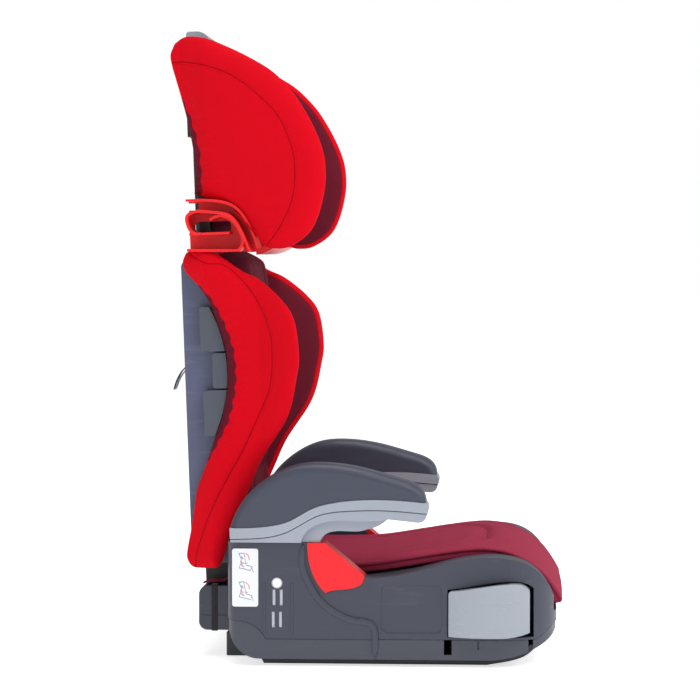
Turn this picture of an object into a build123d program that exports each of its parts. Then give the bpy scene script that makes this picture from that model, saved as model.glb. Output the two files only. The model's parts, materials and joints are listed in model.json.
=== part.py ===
from build123d import *
import os

# High-back booster seat, in millimetres. It faces -Y, +Z is up, and X runs from side to side.
# The origin is the centre of the underside, on the surface that the seat stands on.

os.makedirs("parts", exist_ok=True)

# Base
HALF_WIDTH = 198.0
REAR_Y = 149.0
FRONT_Y = -192.0
FRONT_CORNER_R = 60.0
REAR_CORNER_R = 20.0
WALL = 3.0
SPLIT_Z = 28.5
FLOOR_Z = 7.5
TOWER_TOP = 128.0
TOWER_FRONT_Y = 47.0
TOWER_INNER_X = 170.0
PANEL_STEP = 1.2
SKIN_GAP = 0.3
SCREW_PLACES = [(-120.0, -85.0), (-120.0, 85.0), (120.0, -85.0), (120.0, 85.0)]
RIM_INNER_X = 157.0
RIM_REAR_Y = -2.0
PAD_HALF_WIDTH = 153.0
FLAP_LOW_Z = 57.0
SLIT_WIDTH = 3.2
SLITS = [(99.5, 63.0), (92.0, 63.0), (100.3, 40.0), (92.8, 40.0)]
SLIT_HEIGHT = 16.5

# Backrest hinge and lean
PIVOT_Y = 168.0
PIVOT_Z = 62.0
ROD_R = 5.0
RUNNING_GAP = 0.06
LUG_IN = 78.0
LUG_OUT = 122.0
LUG_BOTTOM_Z = 27.0
LUG_SPLIT_Z = 43.0
LUG_TOP_Z = 74.0
LUG_SIDE_WALL = 4.0
STRAP_Y = 169.5
STRAP_WIDTH = 6.5
STRAP_THICK = 1.0
HOOK_IN = 40.0
HOOK_OUT = 76.0
HOOK_R = 15.0
LEAN_DEG = 2.08

# Backrest, drawn upright and then leaned back about the hinge
BACK_HALF_WIDTH = 128.0
BACK_REAR_Y = 191.0
BACK_FRONT_Y = 153.0
BACK_BOTTOM_Z = 99.0
BACK_TOP_Z = 420.0
MAST_HALF_WIDTH = 60.0
MAST_FRONT_Y = 172.0
MAST_REAR_Y = 180.0
MAST_BOTTOM_Z = 172.0
RACK_FRONT_Y = 183.0
LATCH_Z = 200.0
RACK_PITCH = 25.0
RACK_STEPS = 7
LATCH_TRAVEL = 5.0
LEVER_TRAVEL = 5.0
ROD_TOP_Z = 621.7

# Headrest
HEAD_HALF_WIDTH = 117.0
HEAD_REAR_Y = 186.0
SPINE_HALF_WIDTH = 66.0
CHANNEL_HALF_WIDTH = 20.0
BARE_MAST_TOP_Z = 552.0
HEAD_FRONT_Y = 160.0
HEAD_BOTTOM_Z = 446.0
HEAD_TOP_Z = 650.0
GRIP_TOP_Z = 666.0
GRIP_REAR_Y = 185.5
GRIP_ROOF = 3.5
GRIP_HALF_WIDTH = 50.0

# Armrests
ARM_IN = 165.0
ARM_OUT = 203.0
ARM_STEP = 8.0
POST_IN = 176.0
POST_OUT = 192.0
POST_FRONT_Y = 70.0
POST_REAR_Y = 125.0
POST_BOTTOM_Z = 45.0
POST_TOP_Z = 131.0

# Cup holders, which slide out of the sides
CUP_X = 170.0
CUP_Y = -122.0
CUP_R = 36.0
CUP_FRONT_Y = -164.0
CUP_REAR_Y = -80.5
CUP_OUT = 200.0
CUP_BOW = 12.0
CUP_CORNER_R = 4.0
CUP_IN = 128.0
CUP_FLOOR_Z = 32.0
CUP_WALL = 2.4
TONGUE_IN = 96.0
POCKET_IN = 90.0
POCKET_FRONT_Y = -168.0
POCKET_REAR_Y = -79.5
POCKET_LOW_Z = 31.0
POCKET_HIGH_Z = 88.8


def outline(*stretches):
    """Closed face: a stretch of two points is a line, and one of more points a smooth curve."""
    edges = []
    for points in stretches:
        edges.append(Line(*points) if len(points) == 2 else Spline(*points))
    return make_face(edges)


def slab(side_face, x_from, x_to):
    """Extrude a side outline, drawn as (Y, Z), from one X to another."""
    return extrude(Plane.YZ.offset(x_from) * side_face, x_to - x_from)


def block(x_range, y_range, z_range):
    """Box between two corners, given as a range along each axis."""
    sizes = [high - low for low, high in (x_range, y_range, z_range)]
    centre = [(low + high) / 2 for low, high in (x_range, y_range, z_range)]
    return Pos(*centre) * Box(*sizes)


def cross_rod(radius, x_range, y, z):
    """Cylinder along X."""
    middle = (x_range[0] + x_range[1]) / 2
    return Pos(middle, y, z) * Rot(0, 90, 0) * Cylinder(radius, x_range[1] - x_range[0])


def other_side(shape):
    """Mirror image across the seat's middle plane."""
    return mirror(shape, about=Plane.YZ)


def lean(shape):
    """Turn an upright backrest piece to its resting lean, about the hinge."""
    hinge = Axis((0, PIVOT_Y, PIVOT_Z), (1, 0, 0))
    return shape.rotate(hinge, -LEAN_DEG)


def save(name, shape):
    """Write one node."""
    export_step(shape, f"parts/{name}.step")


def save_pair(name, left_shape):
    """Write a left node and its mirrored right node."""
    save(f"{name}_left", left_shape)
    save(f"{name}_right", other_side(left_shape))


# ---------------------------------------------------------------- base shells

def base_plan(inset=0.0):
    """Plan of the base: wide round corners in front, small ones behind."""
    depth = REAR_Y - FRONT_Y
    sheet = Pos(0, (REAR_Y + FRONT_Y) / 2) * Rectangle(2 * HALF_WIDTH, depth)
    front = sheet.vertices().sort_by(Axis.Y)[:2]
    sheet = fillet(front, FRONT_CORNER_R)
    rear = sheet.vertices().sort_by(Axis.Y)[-2:]
    sheet = fillet(rear, REAR_CORNER_R)
    return offset(sheet, -inset) if inset else sheet


def hollowed(solid, dz, dy=WALL):
    """Overlap of a solid's copies moved both ways along Y and by dz: its hollow, open on the far side."""
    return Pos(0, dy, dz) * solid & Pos(0, -dy, dz) * solid


def in_plan(solid, inset=0.0):
    """Trim a solid to the plan of the base."""
    return solid & extrude(base_plan(inset), 220)


TOP_SIDE = outline(
    [(REAR_Y, 47.5), (REAR_Y, TOWER_TOP)],
    [(REAR_Y, TOWER_TOP), (TOWER_FRONT_Y, TOWER_TOP)],
    [(TOWER_FRONT_Y, TOWER_TOP), (4, 92)],
    [(4, 92), (-51, 100), (-118, 113.5), (-166, 103), (-186, 78), (FRONT_Y, 56)],
    [(FRONT_Y, 56), (FRONT_Y, 44)],
    [(FRONT_Y, 44), (-184, 38), (-172, SPLIT_Z)],
    [(-172, SPLIT_Z), (108, SPLIT_Z)],
    [(108, SPLIT_Z), (116, 39), (128, 46)],
    [(128, 46), (REAR_Y, 47.5)],
)

BOTTOM_SIDE = outline(
    [(REAR_Y, 47.2), (128, 45.7)],
    [(128, 45.7), (116.2, 38.7), (108.2, SPLIT_Z - 0.3)],
    [(108.2, SPLIT_Z - 0.3), (-172, SPLIT_Z - 0.3)],
    [(-172, SPLIT_Z - 0.3), (-184, 37.6), (FRONT_Y, 43.6)],
    [(FRONT_Y, 43.6), (-187, 30), (-174, 21), (-155, 13), (-124, FLOOR_Z)],
    [(-124, FLOOR_Z), (116, FLOOR_Z)],
    [(116, FLOOR_Z), (136, 16), (147, 33), (REAR_Y, 47.2)],
)

DECK_LINE = [(-187, 58), (-184.5, 76), (-172, 93), (-148, 102), (-118, 105), (-70, 101), (-30, 95), (8, 90)]


def above_deck(wall=0.0):
    """Space over the seating deck and in front of its lip: wide between the armrest towers, narrower ahead."""
    line = [(y, z - wall) for y, z in DECK_LINE]
    low = FLAP_LOW_Z - 2 - wall
    face = outline(
        line,
        [line[-1], (170, line[-1][1])],
        [(170, line[-1][1]), (170, 260)],
        [(170, 260), (-230, 260)],
        [(-230, 260), (-230, low)],
        [(-230, low), (line[0][0], low)],
        [(line[0][0], low), line[0]],
    )
    space = slab(face, -TOWER_INNER_X - wall, TOWER_INNER_X + wall)
    for side in (-1, 1):
        x_range = sorted((side * (RIM_INNER_X + wall), side * 230))
        space = space - block(x_range, (-240, RIM_REAR_Y - wall), (0, 300))
    return space


def top_hollow(gap=0.0):
    """Space inside the upper shell; the gap keeps an inner piece off the shell's walls."""
    wall = WALL + gap
    space = hollowed(slab(TOP_SIDE, wall - HALF_WIDTH, HALF_WIDTH - wall), -wall, wall)
    return in_plan(space, wall) - above_deck(wall)


def raised_panel_front():
    """Side region in front of the raised rear panel's sweeping edge."""
    sweep = [(70, 128), (70, 101), (54, 71), (37, 56), (19, 48), (3, 45), (-4.5, 30)]
    return outline(
        sweep,
        [sweep[-1], (-4.5, -5)],
        [(-4.5, -5), (-230, -5)],
        [(-230, -5), (-230, 140)],
        [(-230, 140), (70, 140)],
        [(70, 140), (70, 128)],
    )


GUIDE_SIDE = outline(
    [(65, TOWER_TOP), (TOWER_FRONT_Y, TOWER_TOP)],
    [(TOWER_FRONT_Y, TOWER_TOP), (6, 93.7)],
    [(6, 93.7), (9, 86), (18, 81.5), (46, 76)],
    [(46, 76), (55, 87), (61, 100), (65, TOWER_TOP)],
)

SLOPE_SIDE = outline(
    [(60, TOWER_TOP + 0.2), (TOWER_FRONT_Y - 0.2, TOWER_TOP + 0.2)],
    [(TOWER_FRONT_Y - 0.2, TOWER_TOP + 0.2), (6, 94)],
    [(6, 94), (9.5, 90.5)],
    [(9.5, 90.5), (48.5, TOWER_TOP - 3)],
    [(48.5, TOWER_TOP - 3), (60, TOWER_TOP - 3)],
    [(60, TOWER_TOP - 3), (60, TOWER_TOP + 0.2)],
)


def cup_pocket(grow=0.0):
    """Pocket in the left side that the cup holder slides in; grow gives its walls."""
    rear = POCKET_REAR_Y + grow
    front = POCKET_FRONT_Y - grow
    low = POCKET_LOW_Z - grow
    top = [(rear, 80.4), (-110, 84.7), (-143, POCKET_HIGH_Z), (-157, 87.6), (front, 81.5)]
    top = [(y, z + grow) for y, z in top]
    face = outline(
        top,
        [top[-1], (front, low)],
        [(front, low), (rear, low)],
        [(rear, low), top[0]],
    )
    return slab(face, POCKET_IN - grow, 230)


def pivot_lug(z_low, z_high):
    """Block on the left rear of the base, which holds the hinge rod."""
    lug = block((LUG_IN, LUG_OUT), (REAR_Y - WALL, 186), (z_low, z_high))
    rear_edges = lug.edges().filter_by(Axis.X).sort_by(Axis.Y)[-2:]
    outer = rear_edges.sort_by(Axis.Z)[-1] if z_high > PIVOT_Z else rear_edges.sort_by(Axis.Z)[0]
    lug = fillet(outer, 9)
    return lug - cross_rod(ROD_R + RUNNING_GAP, (LUG_IN - 1, LUG_OUT - LUG_SIDE_WALL), PIVOT_Y, PIVOT_Z)


def slit_bars(x_range, gap=0.0):
    """Four narrow upright bars in the left outer wall, made slimmer by a gap."""
    half = SLIT_WIDTH / 2 - gap
    return [block(x_range, (y - half, y + half), (z + gap, z + SLIT_HEIGHT - gap)) for y, z in SLITS]


def base_top_shell():
    """Upper shell: deck, two armrest towers and the cup holders' openings, open underneath."""
    outer = in_plan(slab(TOP_SIDE, -HALF_WIDTH, HALF_WIDTH))
    shell = outer - above_deck() - top_hollow()
    front_skin = slab(raised_panel_front(), HALF_WIDTH - PANEL_STEP, HALF_WIDTH + 5)
    recess_face = Pos(-42.5, 60) * RectangleRounded(63, 50, 7)
    recess = slab(recess_face, HALF_WIDTH - PANEL_STEP - 0.9, HALF_WIDTH)
    guide_seat = slab(GUIDE_SIDE, HALF_WIDTH - WALL, HALF_WIDTH + 5)
    slope_seat = slab(SLOPE_SIDE, TOWER_INNER_X - 1, HALF_WIDTH + 5)
    post_slot = block((POST_IN - 0.4, POST_OUT + 0.4), (POST_FRONT_Y - 0.4, POST_REAR_Y + 0.4), (110, 140))
    side_parts = [front_skin, recess, slope_seat, post_slot]
    for dy, dz in ((-0.15, 0), (0.15, 0), (0, -0.15), (0, 0.15)):
        side_parts.append(Pos(0, dy, dz) * guide_seat)
    side_parts += slit_bars((HALF_WIDTH - 2 * WALL, HALF_WIDTH + WALL))
    ribs = [block((HALF_WIDTH - 1, HALF_WIDTH + 0.7), (y - 1.3, y + 1.3), (33, 86)) for y in (109.5, 81)]
    for flip in (False, True):
        turn = other_side if flip else (lambda shape: shape)
        shell = shell - turn(cup_pocket())
        for cutter in side_parts:
            shell = shell - turn(cutter)
        for rib in ribs:
            shell = shell + turn(rib)
    return shell


def cup_sleeve():
    """Left pocket's own walls inside the base, which guide the cup holder."""
    return (cup_pocket(CUP_WALL) & top_hollow(SKIN_GAP)) - cup_pocket()


def base_bottom_shell():
    """Lower tray, closed by the floor plate and screwed to the upper shell."""
    outer = in_plan(slab(BOTTOM_SIDE, 1 - HALF_WIDTH, HALF_WIDTH - 1), 1)
    inner = hollowed(slab(BOTTOM_SIDE, WALL + 1 - HALF_WIDTH, HALF_WIDTH - WALL - 1), WALL)
    tray = outer - in_plan(inner, WALL + 1)
    for y, half, x_in in ((-79.8, 4.0, HALF_WIDTH - 3 * WALL), (-165, 2.4, HALF_WIDTH - 24)):
        for side in (-1, 1):
            x_range = sorted((side * x_in, side * (HALF_WIDTH + 5)))
            tray = tray - block(x_range, (y - half, y + half), (13, 35))
    for side in (-1, 1):
        x_range = sorted((side * (HALF_WIDTH - 2.2), side * (HALF_WIDTH + 5)))
        tray = tray - block(x_range, (-7, -4), (5, 35))
        x_range = sorted((side * (HALF_WIDTH - 3), side * (HALF_WIDTH + 5)))
        tray = tray - block(x_range, (-112.2, -110), (19, 35))
        x_range = sorted((side * (LUG_IN - SKIN_GAP), side * (LUG_OUT + SKIN_GAP)))
        tray = tray - block(x_range, (REAR_Y - 2 * WALL, REAR_Y + 1), (LUG_SPLIT_Z - SKIN_GAP, 60))
    for x, y in SCREW_PLACES:
        tray = tray - Pos(x, y, FLOOR_Z) * Cylinder(2.1, 4 * WALL)
    return tray


FLOOR_SIDE = outline(
    [(116, FLOOR_Z - 0.2), (112, 0)],
    [(112, 0), (-120, 0)],
    [(-120, 0), (-140, 3.5), (-158, 9), (-170, 17.5)],
    [(-170, 17.5), (-155, 12.7), (-124, FLOOR_Z - 0.2)],
    [(-124, FLOOR_Z - 0.2), (116, FLOOR_Z - 0.2)],
)


def base_floor_plate():
    """Black sole plate that the seat stands on, hollow above."""
    sole = in_plan(slab(FLOOR_SIDE, -176, 176), 14)
    hollow = block((-160, 160), (-100, 100), (3, 10))
    return sole - hollow


def rear_foot():
    """Left foot under the back edge of the base."""
    foot = block((97, 123), (122, 157), (0, LUG_BOTTOM_Z - 3))
    foot = fillet(foot.edges().filter_by(Axis.Z), 4)
    return foot - Pos(0, 0, -SKIN_GAP) * slab(BOTTOM_SIDE, 80, 140)


def base_screws():
    """Four self-tapping screws that hold the sole and the two shells together."""
    head = Cylinder(4, 2.2)
    shank = Pos(0, 0, 10) * Cylinder(1.9, 18)
    screw = Pos(0, 0, 3.2 + 1.1) * (head + shank)
    return [Pos(x, y, 0) * screw for x, y in SCREW_PLACES]


def belt_guide():
    """Left red belt hook plate: side cheek, and a flange over the slope in front of the armrest."""
    cheek = slab(GUIDE_SIDE, HALF_WIDTH - WALL + 0.1, HALF_WIDTH + 1.2)
    flange = slab(SLOPE_SIDE, TOWER_INNER_X, HALF_WIDTH + 1.2) - block((160, 210), (50, 70), (100, 140))
    return cheek + flange


def seat_pad():
    """Seat cushion: over the deck, and down over its front lip."""
    under = [(y - SKIN_GAP, z + SKIN_GAP) for y, z in DECK_LINE]
    face = outline(
        under,
        [under[-1], (108, under[-1][1])],
        [(108, under[-1][1]), (112, 98), (106, 110)],
        [(106, 110), (20, 109), (-46, 115), (-100, 121), (-140, 117), (-173, 103), (-194, 79), (-201.5, 62)],
        [(-201.5, 62), (-199, 57.2), (-192.3, FLAP_LOW_Z)],
        [(-192.3, FLAP_LOW_Z), (under[0][0], FLAP_LOW_Z)],
        [(under[0][0], FLAP_LOW_Z), under[0]],
    )
    body = slab(face, -PAD_HALF_WIDTH, PAD_HALF_WIDTH)
    plan = Pos(0, -45) * RectangleRounded(2 * PAD_HALF_WIDTH, 314, 48)
    return body & extrude(plan, 220)


def lug_strap():
    """Left elastic of the seat cover, looped round the hinge lug; its two ends stop short of the hinge rod."""
    middle = Pos((LUG_IN + LUG_OUT) / 2, (LUG_BOTTOM_Z + LUG_TOP_Z) / 2)
    width = LUG_OUT - LUG_IN + 0.2
    height = LUG_TOP_Z - LUG_BOTTOM_Z + 0.2
    loop = middle * Rectangle(width + 2 * STRAP_THICK, height + 2 * STRAP_THICK)
    loop = fillet(loop.vertices(), STRAP_THICK) - middle * Rectangle(width, height)
    ring = extrude(Plane.XZ.offset(-STRAP_Y - STRAP_WIDTH / 2) * loop, STRAP_WIDTH)
    return ring - block((LUG_IN - 5, LUG_IN + 5), (PIVOT_Y - 10, PIVOT_Y + 10), (PIVOT_Z - 7, PIVOT_Z + 7))


# ---------------------------------------------------------------- armrests

PAD_BOTTOM = [(-57.5, 170), (-21, 173), (8, 173), (37, 170), (60, 163.5), (84, 150.5), (104, 145.5), (145, 143.6)]
GROOVE = [(-58.5, 158.6), (-12, 162), (26, 161), (53, 156.5), (72, 146.5), (90, 137.5), (112, 133), (144.5, 131.5)]


def shifted(points, dz):
    """Points moved up by dz."""
    return [(y, z + dz) for y, z in points]


def arm_pad():
    """Left armrest's soft top."""
    face = outline(
        PAD_BOTTOM,
        [PAD_BOTTOM[-1], (140, 157), (128, 176), (106, 195), (78, 207.5), (52, 210), (10, 205), (-30, 194),
         (-51, 184.5), PAD_BOTTOM[0]],
    )
    pad = slab(face, ARM_IN, ARM_OUT)
    rims = [edge for edge in pad.edges() if edge.center().Z > 178]
    return fillet(rims, 9)


def arm_band():
    """Left light-coloured band between the armrest's top and its lower shell."""
    upper = shifted(PAD_BOTTOM, -SKIN_GAP)
    lower = shifted(GROOVE, 0.4)
    face = outline(
        upper,
        [upper[-1], lower[-1]],
        lower[::-1],
        [lower[0], (-60, 164), upper[0]],
    )
    return slab(face, ARM_IN - 0.5, ARM_OUT + 0.7)


def arm_lower():
    """Left lower shell of the armrest, down to the tower."""
    upper = shifted(GROOVE, -0.4)
    face = outline(
        upper,
        [upper[-1], (144, TOWER_TOP + 0.4)],
        [(144, TOWER_TOP + 0.4), (52, TOWER_TOP + 0.4)],
        [(52, TOWER_TOP + 0.4), (46, 136.8), (26, 140), (4, 142)],
        [(4, 142), (-9, 146), (-18, 153)],
        [(-18, 153), (-46, 150)],
        [(-46, 150), (-55, 151.5), upper[0]],
    )
    tier = outline(
        [(71, TOWER_TOP - 1), (70.5, 131), (61, 143.5), (37, 151), (-16, 152.6)],
        [(-16, 152.6), (-30, TOWER_TOP - 1)],
        [(-30, TOWER_TOP - 1), (71, TOWER_TOP - 1)],
    )
    shell = slab(face, ARM_IN + 0.6, ARM_OUT - 0.4) - slab(tier, ARM_OUT - ARM_STEP, ARM_OUT + 1)
    socket = block((POST_IN, POST_OUT), (POST_FRONT_Y, POST_REAR_Y), (120, POST_TOP_Z))
    return shell - socket


def arm_post():
    """Left post that slides in the tower, with two long slots for its height stop."""
    x_range = (POST_IN, POST_OUT)
    post = block(x_range, (POST_FRONT_Y, POST_REAR_Y), (POST_BOTTOM_Z, POST_TOP_Z))
    for y in (POST_FRONT_Y + 16, POST_REAR_Y - 16):
        slot = block((POST_IN - 1, POST_OUT + 1), (y - 4, y + 4), (POST_BOTTOM_Z + 12, POST_BOTTOM_Z + 55))
        post = post - slot
    return post


def arm_screws():
    """Left armrest's two screws, up through the post into the lower shell."""
    screws = []
    for y in (POST_FRONT_Y + 6, POST_REAR_Y - 6):
        screws.append(Pos((POST_IN + POST_OUT) / 2, y, POST_BOTTOM_Z - 1.2) * Cylinder(3.4, 2.2))
    return screws


# ---------------------------------------------------------------- cup holders

def cup_holder():
    """Left cup holder: a D-shaped drawer with a round well, and two tongues that stay in the pocket."""
    front = CUP_FRONT_Y
    rear = CUP_REAR_Y
    plan = make_face([
        Line((CUP_IN, rear), (CUP_OUT, rear)),
        ThreePointArc((CUP_OUT, rear), (CUP_OUT + CUP_BOW, CUP_Y), (CUP_OUT, front)),
        Line((CUP_OUT, front), (CUP_IN, front)),
        Line((CUP_IN, front), (CUP_IN, rear)),
    ])
    side = outline(
        [(rear, 79), (-110, 83.5), (-143, 87.5), (-157, 86), (front, 80)],
        [(front, 80), (front, CUP_FLOOR_Z + 5)],
        [(front, CUP_FLOOR_Z + 5), (-156, CUP_FLOOR_Z + 2.6), (-136, CUP_FLOOR_Z)],
        [(-136, CUP_FLOOR_Z), (rear, CUP_FLOOR_Z)],
        [(rear, CUP_FLOOR_Z), (rear, 79)],
    )
    tub = slab(side, CUP_IN, CUP_OUT + CUP_BOW + 5)
    tub = fillet(tub.edges().filter_by(Axis.X).sort_by(Axis.Z)[-2:], CUP_CORNER_R)
    tub = extrude(plan, 120) & tub
    well = Pos(CUP_X, CUP_Y, CUP_FLOOR_Z + CUP_WALL + 50) * Cylinder(CUP_R, 100)
    tub = tub - well
    for y_range in ((front, front + 8), (rear - 8, rear)):
        tub = tub + block((TONGUE_IN, CUP_IN), y_range, (CUP_FLOOR_Z, CUP_FLOOR_Z + 14))
    return tub


# ---------------------------------------------------------------- backrest (drawn upright)

WING_SIDE = outline(
    [(186, 408), (184, 420), (170, 424), (141, 420), (105, 396), (82, 375), (69, 350), (65, 319), (68, 293),
     (80, 254), (109, 211), (141, 148), (162, 96)],
    [(162, 96), (190, 97)],
    [(190, 97), (192, 130), (186, 162), (172, 205), (152, 253), (144, 295), (150, 342), (166, 380), (186, 408)],
)

WING_PLAN = outline(
    [(128.6, 196), (142, 190), (154, 165), (160, 135), (164, 108), (180, 84), (197, 62)],
    [(197, 62), (186, 58), (172, 64)],
    [(172, 64), (152, 90), (137, 112), (130, 134), (128.6, 152)],
    [(128.6, 152), (128.6, 196)],
)


def back_shell():
    """Plastic back tray, open to the front, with a slot in its top for the headrest's mast."""
    x_range = (-BACK_HALF_WIDTH, BACK_HALF_WIDTH)
    body = block(x_range, (BACK_FRONT_Y, BACK_REAR_Y), (BACK_BOTTOM_Z, BACK_TOP_Z))
    body = fillet(body.edges().filter_by(Axis.X).sort_by(Axis.Y)[-2:], 8)
    x_inner = (WALL - BACK_HALF_WIDTH, BACK_HALF_WIDTH - WALL)
    body = body - block(x_inner, (100, BACK_REAR_Y - WALL), (BACK_BOTTOM_Z + WALL, BACK_TOP_Z - WALL))
    mast_slot = block((-MAST_HALF_WIDTH - 0.5, MAST_HALF_WIDTH + 0.5), (MAST_FRONT_Y - 0.5, RACK_FRONT_Y),
                      (BACK_TOP_Z - 10, BACK_TOP_Z + 10))
    body = body - mast_slot
    for side in (-1, 1):
        rail_x = sorted((side * (MAST_HALF_WIDTH + 0.5), side * (MAST_HALF_WIDTH + 3.5)))
        body = body + block(rail_x, (MAST_FRONT_Y - 4, BACK_REAR_Y - 1), (120, BACK_TOP_Z - 1))
    return body


def back_front_panel():
    """Plastic panel behind the back cushion, which closes the tray."""
    return block((-124.5, 124.5), (BACK_FRONT_Y - 3, BACK_FRONT_Y), (BACK_BOTTOM_Z, BACK_TOP_Z))


def height_rack():
    """Strip with a row of square holes, one for each headrest height."""
    low = LATCH_Z - 20
    high = LATCH_Z + RACK_PITCH * (RACK_STEPS - 1) + 20
    strip = block((-32, 32), (RACK_FRONT_Y, BACK_REAR_Y - WALL), (low, high))
    for step in range(RACK_STEPS):
        z = LATCH_Z + RACK_PITCH * step
        strip = strip - block((-13, 13), (RACK_FRONT_Y - 1, BACK_REAR_Y), (z - 7, z + 7))
    return strip


def back_hooks():
    """Two hooks under the back shell that clip over the hinge rod."""
    hooks = []
    for side in (-1, 1):
        x_range = sorted((side * HOOK_IN, side * HOOK_OUT))
        knuckle = cross_rod(HOOK_R, x_range, PIVOT_Y, PIVOT_Z)
        neck = block(x_range, (PIVOT_Y - 12, PIVOT_Y + HOOK_R), (PIVOT_Z, BACK_BOTTOM_Z))
        hook = knuckle + neck
        hook = hook - cross_rod(ROD_R + RUNNING_GAP, (-90, 90), PIVOT_Y, PIVOT_Z)
        mouth = block(x_range, (PIVOT_Y - 4.4, PIVOT_Y + 4.4), (PIVOT_Z - 30, PIVOT_Z - 2.5))
        hooks.append(hook - mouth)
    return hooks


def wing_frame():
    """Left wing's plastic frame: three stepped blocks behind the cover's gathered edge."""
    clear = Pos(0, 0.5, 0) * slab(WING_SIDE, BACK_HALF_WIDTH - 1, 150)
    steps = [(172, 323, 370), (160, 284, 321), (171, 234, 282)]
    blocks = []
    for rear_y, z_low, z_high in steps:
        step = block((BACK_HALF_WIDTH + SKIN_GAP, 143), (140, rear_y), (z_low, z_high))
        step = fillet(step.edges().filter_by(Axis.X).sort_by(Axis.Y)[-2:], 3)
        blocks.append(step - clear)
    return blocks


def back_pad():
    """Back cushion between the wings."""
    face = outline(
        [(149.6, 97), (149.6, 425)],
        [(149.6, 425), (140, 430), (128, 428), (121, 418)],
        [(121, 418), (119, 390), (123, 290), (127, 192), (131, 120), (138, 99), (149.6, 97)],
    )
    return slab(face, -114, 114)


def back_wing():
    """Left padded wing of the backrest."""
    return slab(WING_SIDE, 100, 210) & extrude(WING_PLAN, 500)


def care_tag():
    """Folded sewn-in tag behind the back shell."""
    loop = outline(
        [(BACK_REAR_Y + 0.3, 311), (208, 300), (219, 279)],
        [(219, 279), (217.4, 278)],
        [(217.4, 278), (206.5, 298.5), (BACK_REAR_Y + 0.3, 309.4)],
        [(BACK_REAR_Y + 0.3, 309.4), (BACK_REAR_Y + 0.3, 311)],
    )
    return slab(loop, -12, 12)


def back_screws():
    """Screws that hold the height strip to the back shell."""
    high = LATCH_Z + RACK_PITCH * (RACK_STEPS - 1) + 14
    places = [(x, z) for x in (-22, 22) for z in (LATCH_Z - 14, high)]
    return [Pos(x, RACK_FRONT_Y - 0.8, z) * Rot(90, 0, 0) * Cylinder(3.2, 1.4) for x, z in places]


# ---------------------------------------------------------------- headrest (drawn upright)

HEAD_SIDE = outline(
    [(175, 653), (189, 646), (193.5, 628), (186, 592), (177, 549), (173.5, 520), (174, 491)],
    [(174, 491), (149, 484), (126, 475.5), (112, 460), (100, 434)],
    [(100, 434), (88, 430), (70, 432), (50, 446), (35, 481), (31, 512), (37, 543), (57, 584), (86, 616),
     (121, 638), (151, 651), (175, 653)],
)

HEAD_PLAN = outline(
    [(117.5, 197), (130, 192), (146, 160), (160, 118), (171, 78), (182, 32)],
    [(182, 32), (172, 26), (158, 32)],
    [(158, 32), (144, 76), (128, 112), (119.5, 140), (117.5, 160)],
    [(117.5, 160), (117.5, 197)],
)

GUIDE_LIP = [(181, 482.5), (150, 480.5), (132, 475), (117, 457), (107, 430)]
GUIDE_MID = [(166, 446.8), (175, 449), (179.3, 457), (179, 466), (172, 469.6), (152, 468.5), (136, 465), (124, 449), (114, 425)]
GUIDE_HOOK = [(156, 461), (138, 463), (127, 452), (123, 434), (128, 427.5)]


HEAD_TRAY_SIDE = outline(
    [(HEAD_FRONT_Y, HEAD_BOTTOM_Z), (HEAD_FRONT_Y, HEAD_TOP_Z)],
    [(HEAD_FRONT_Y, HEAD_TOP_Z), (184, HEAD_TOP_Z)],
    [(184, HEAD_TOP_Z), (188, 636), (184, 602), (175.5, 566), (171, 535)],
    [(171, 535), (171, HEAD_BOTTOM_Z)],
    [(171, HEAD_BOTTOM_Z), (HEAD_FRONT_Y, HEAD_BOTTOM_Z)],
)


def head_tray(inset):
    """Head tray's solid outside, narrower by an inset: slanted flanks, and a square spine for the mast."""
    flanks = slab(HEAD_TRAY_SIDE, inset - HEAD_HALF_WIDTH, HEAD_HALF_WIDTH - inset)
    spine_x = (inset - SPINE_HALF_WIDTH, SPINE_HALF_WIDTH - inset)
    return flanks + block(spine_x, (HEAD_FRONT_Y, HEAD_REAR_Y), (HEAD_BOTTOM_Z, HEAD_TOP_Z))


def head_shell():
    """Plastic head tray, open to the front; its lower half leaves the mast bare beside a narrow rod channel."""
    inside = block((-HEAD_HALF_WIDTH, HEAD_HALF_WIDTH), (100, 200), (HEAD_BOTTOM_Z + WALL, HEAD_TOP_Z - WALL))
    body = head_tray(0) - (Pos(0, -WALL, 0) * head_tray(WALL) & inside)
    mast_slot = block((-MAST_HALF_WIDTH - 0.2, MAST_HALF_WIDTH + 0.2), (MAST_FRONT_Y - 0.2, 182.8),
                      (HEAD_BOTTOM_Z - 5, HEAD_BOTTOM_Z + 5))
    lever_slot = block((-35, 35), (174.5, 200), (HEAD_TOP_Z - 12, HEAD_TOP_Z + 5))
    body = body - mast_slot - lever_slot
    for side in (-1, 1):
        bare_x = sorted((side * CHANNEL_HALF_WIDTH, side * (SPINE_HALF_WIDTH + 5)))
        body = body - block(bare_x, (MAST_REAR_Y, 200), (HEAD_BOTTOM_Z - 5, BARE_MAST_TOP_Z))
        wall_x = sorted((side * (CHANNEL_HALF_WIDTH - WALL), side * CHANNEL_HALF_WIDTH))
        body = body + block(wall_x, (MAST_REAR_Y + 0.1, HEAD_REAR_Y), (HEAD_BOTTOM_Z, BARE_MAST_TOP_Z + WALL))
        roof_x = sorted((side * CHANNEL_HALF_WIDTH, side * SPINE_HALF_WIDTH))
        body = body + block(roof_x, (MAST_REAR_Y + 0.1, HEAD_REAR_Y), (BARE_MAST_TOP_Z, BARE_MAST_TOP_Z + WALL))
    return body


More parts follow.
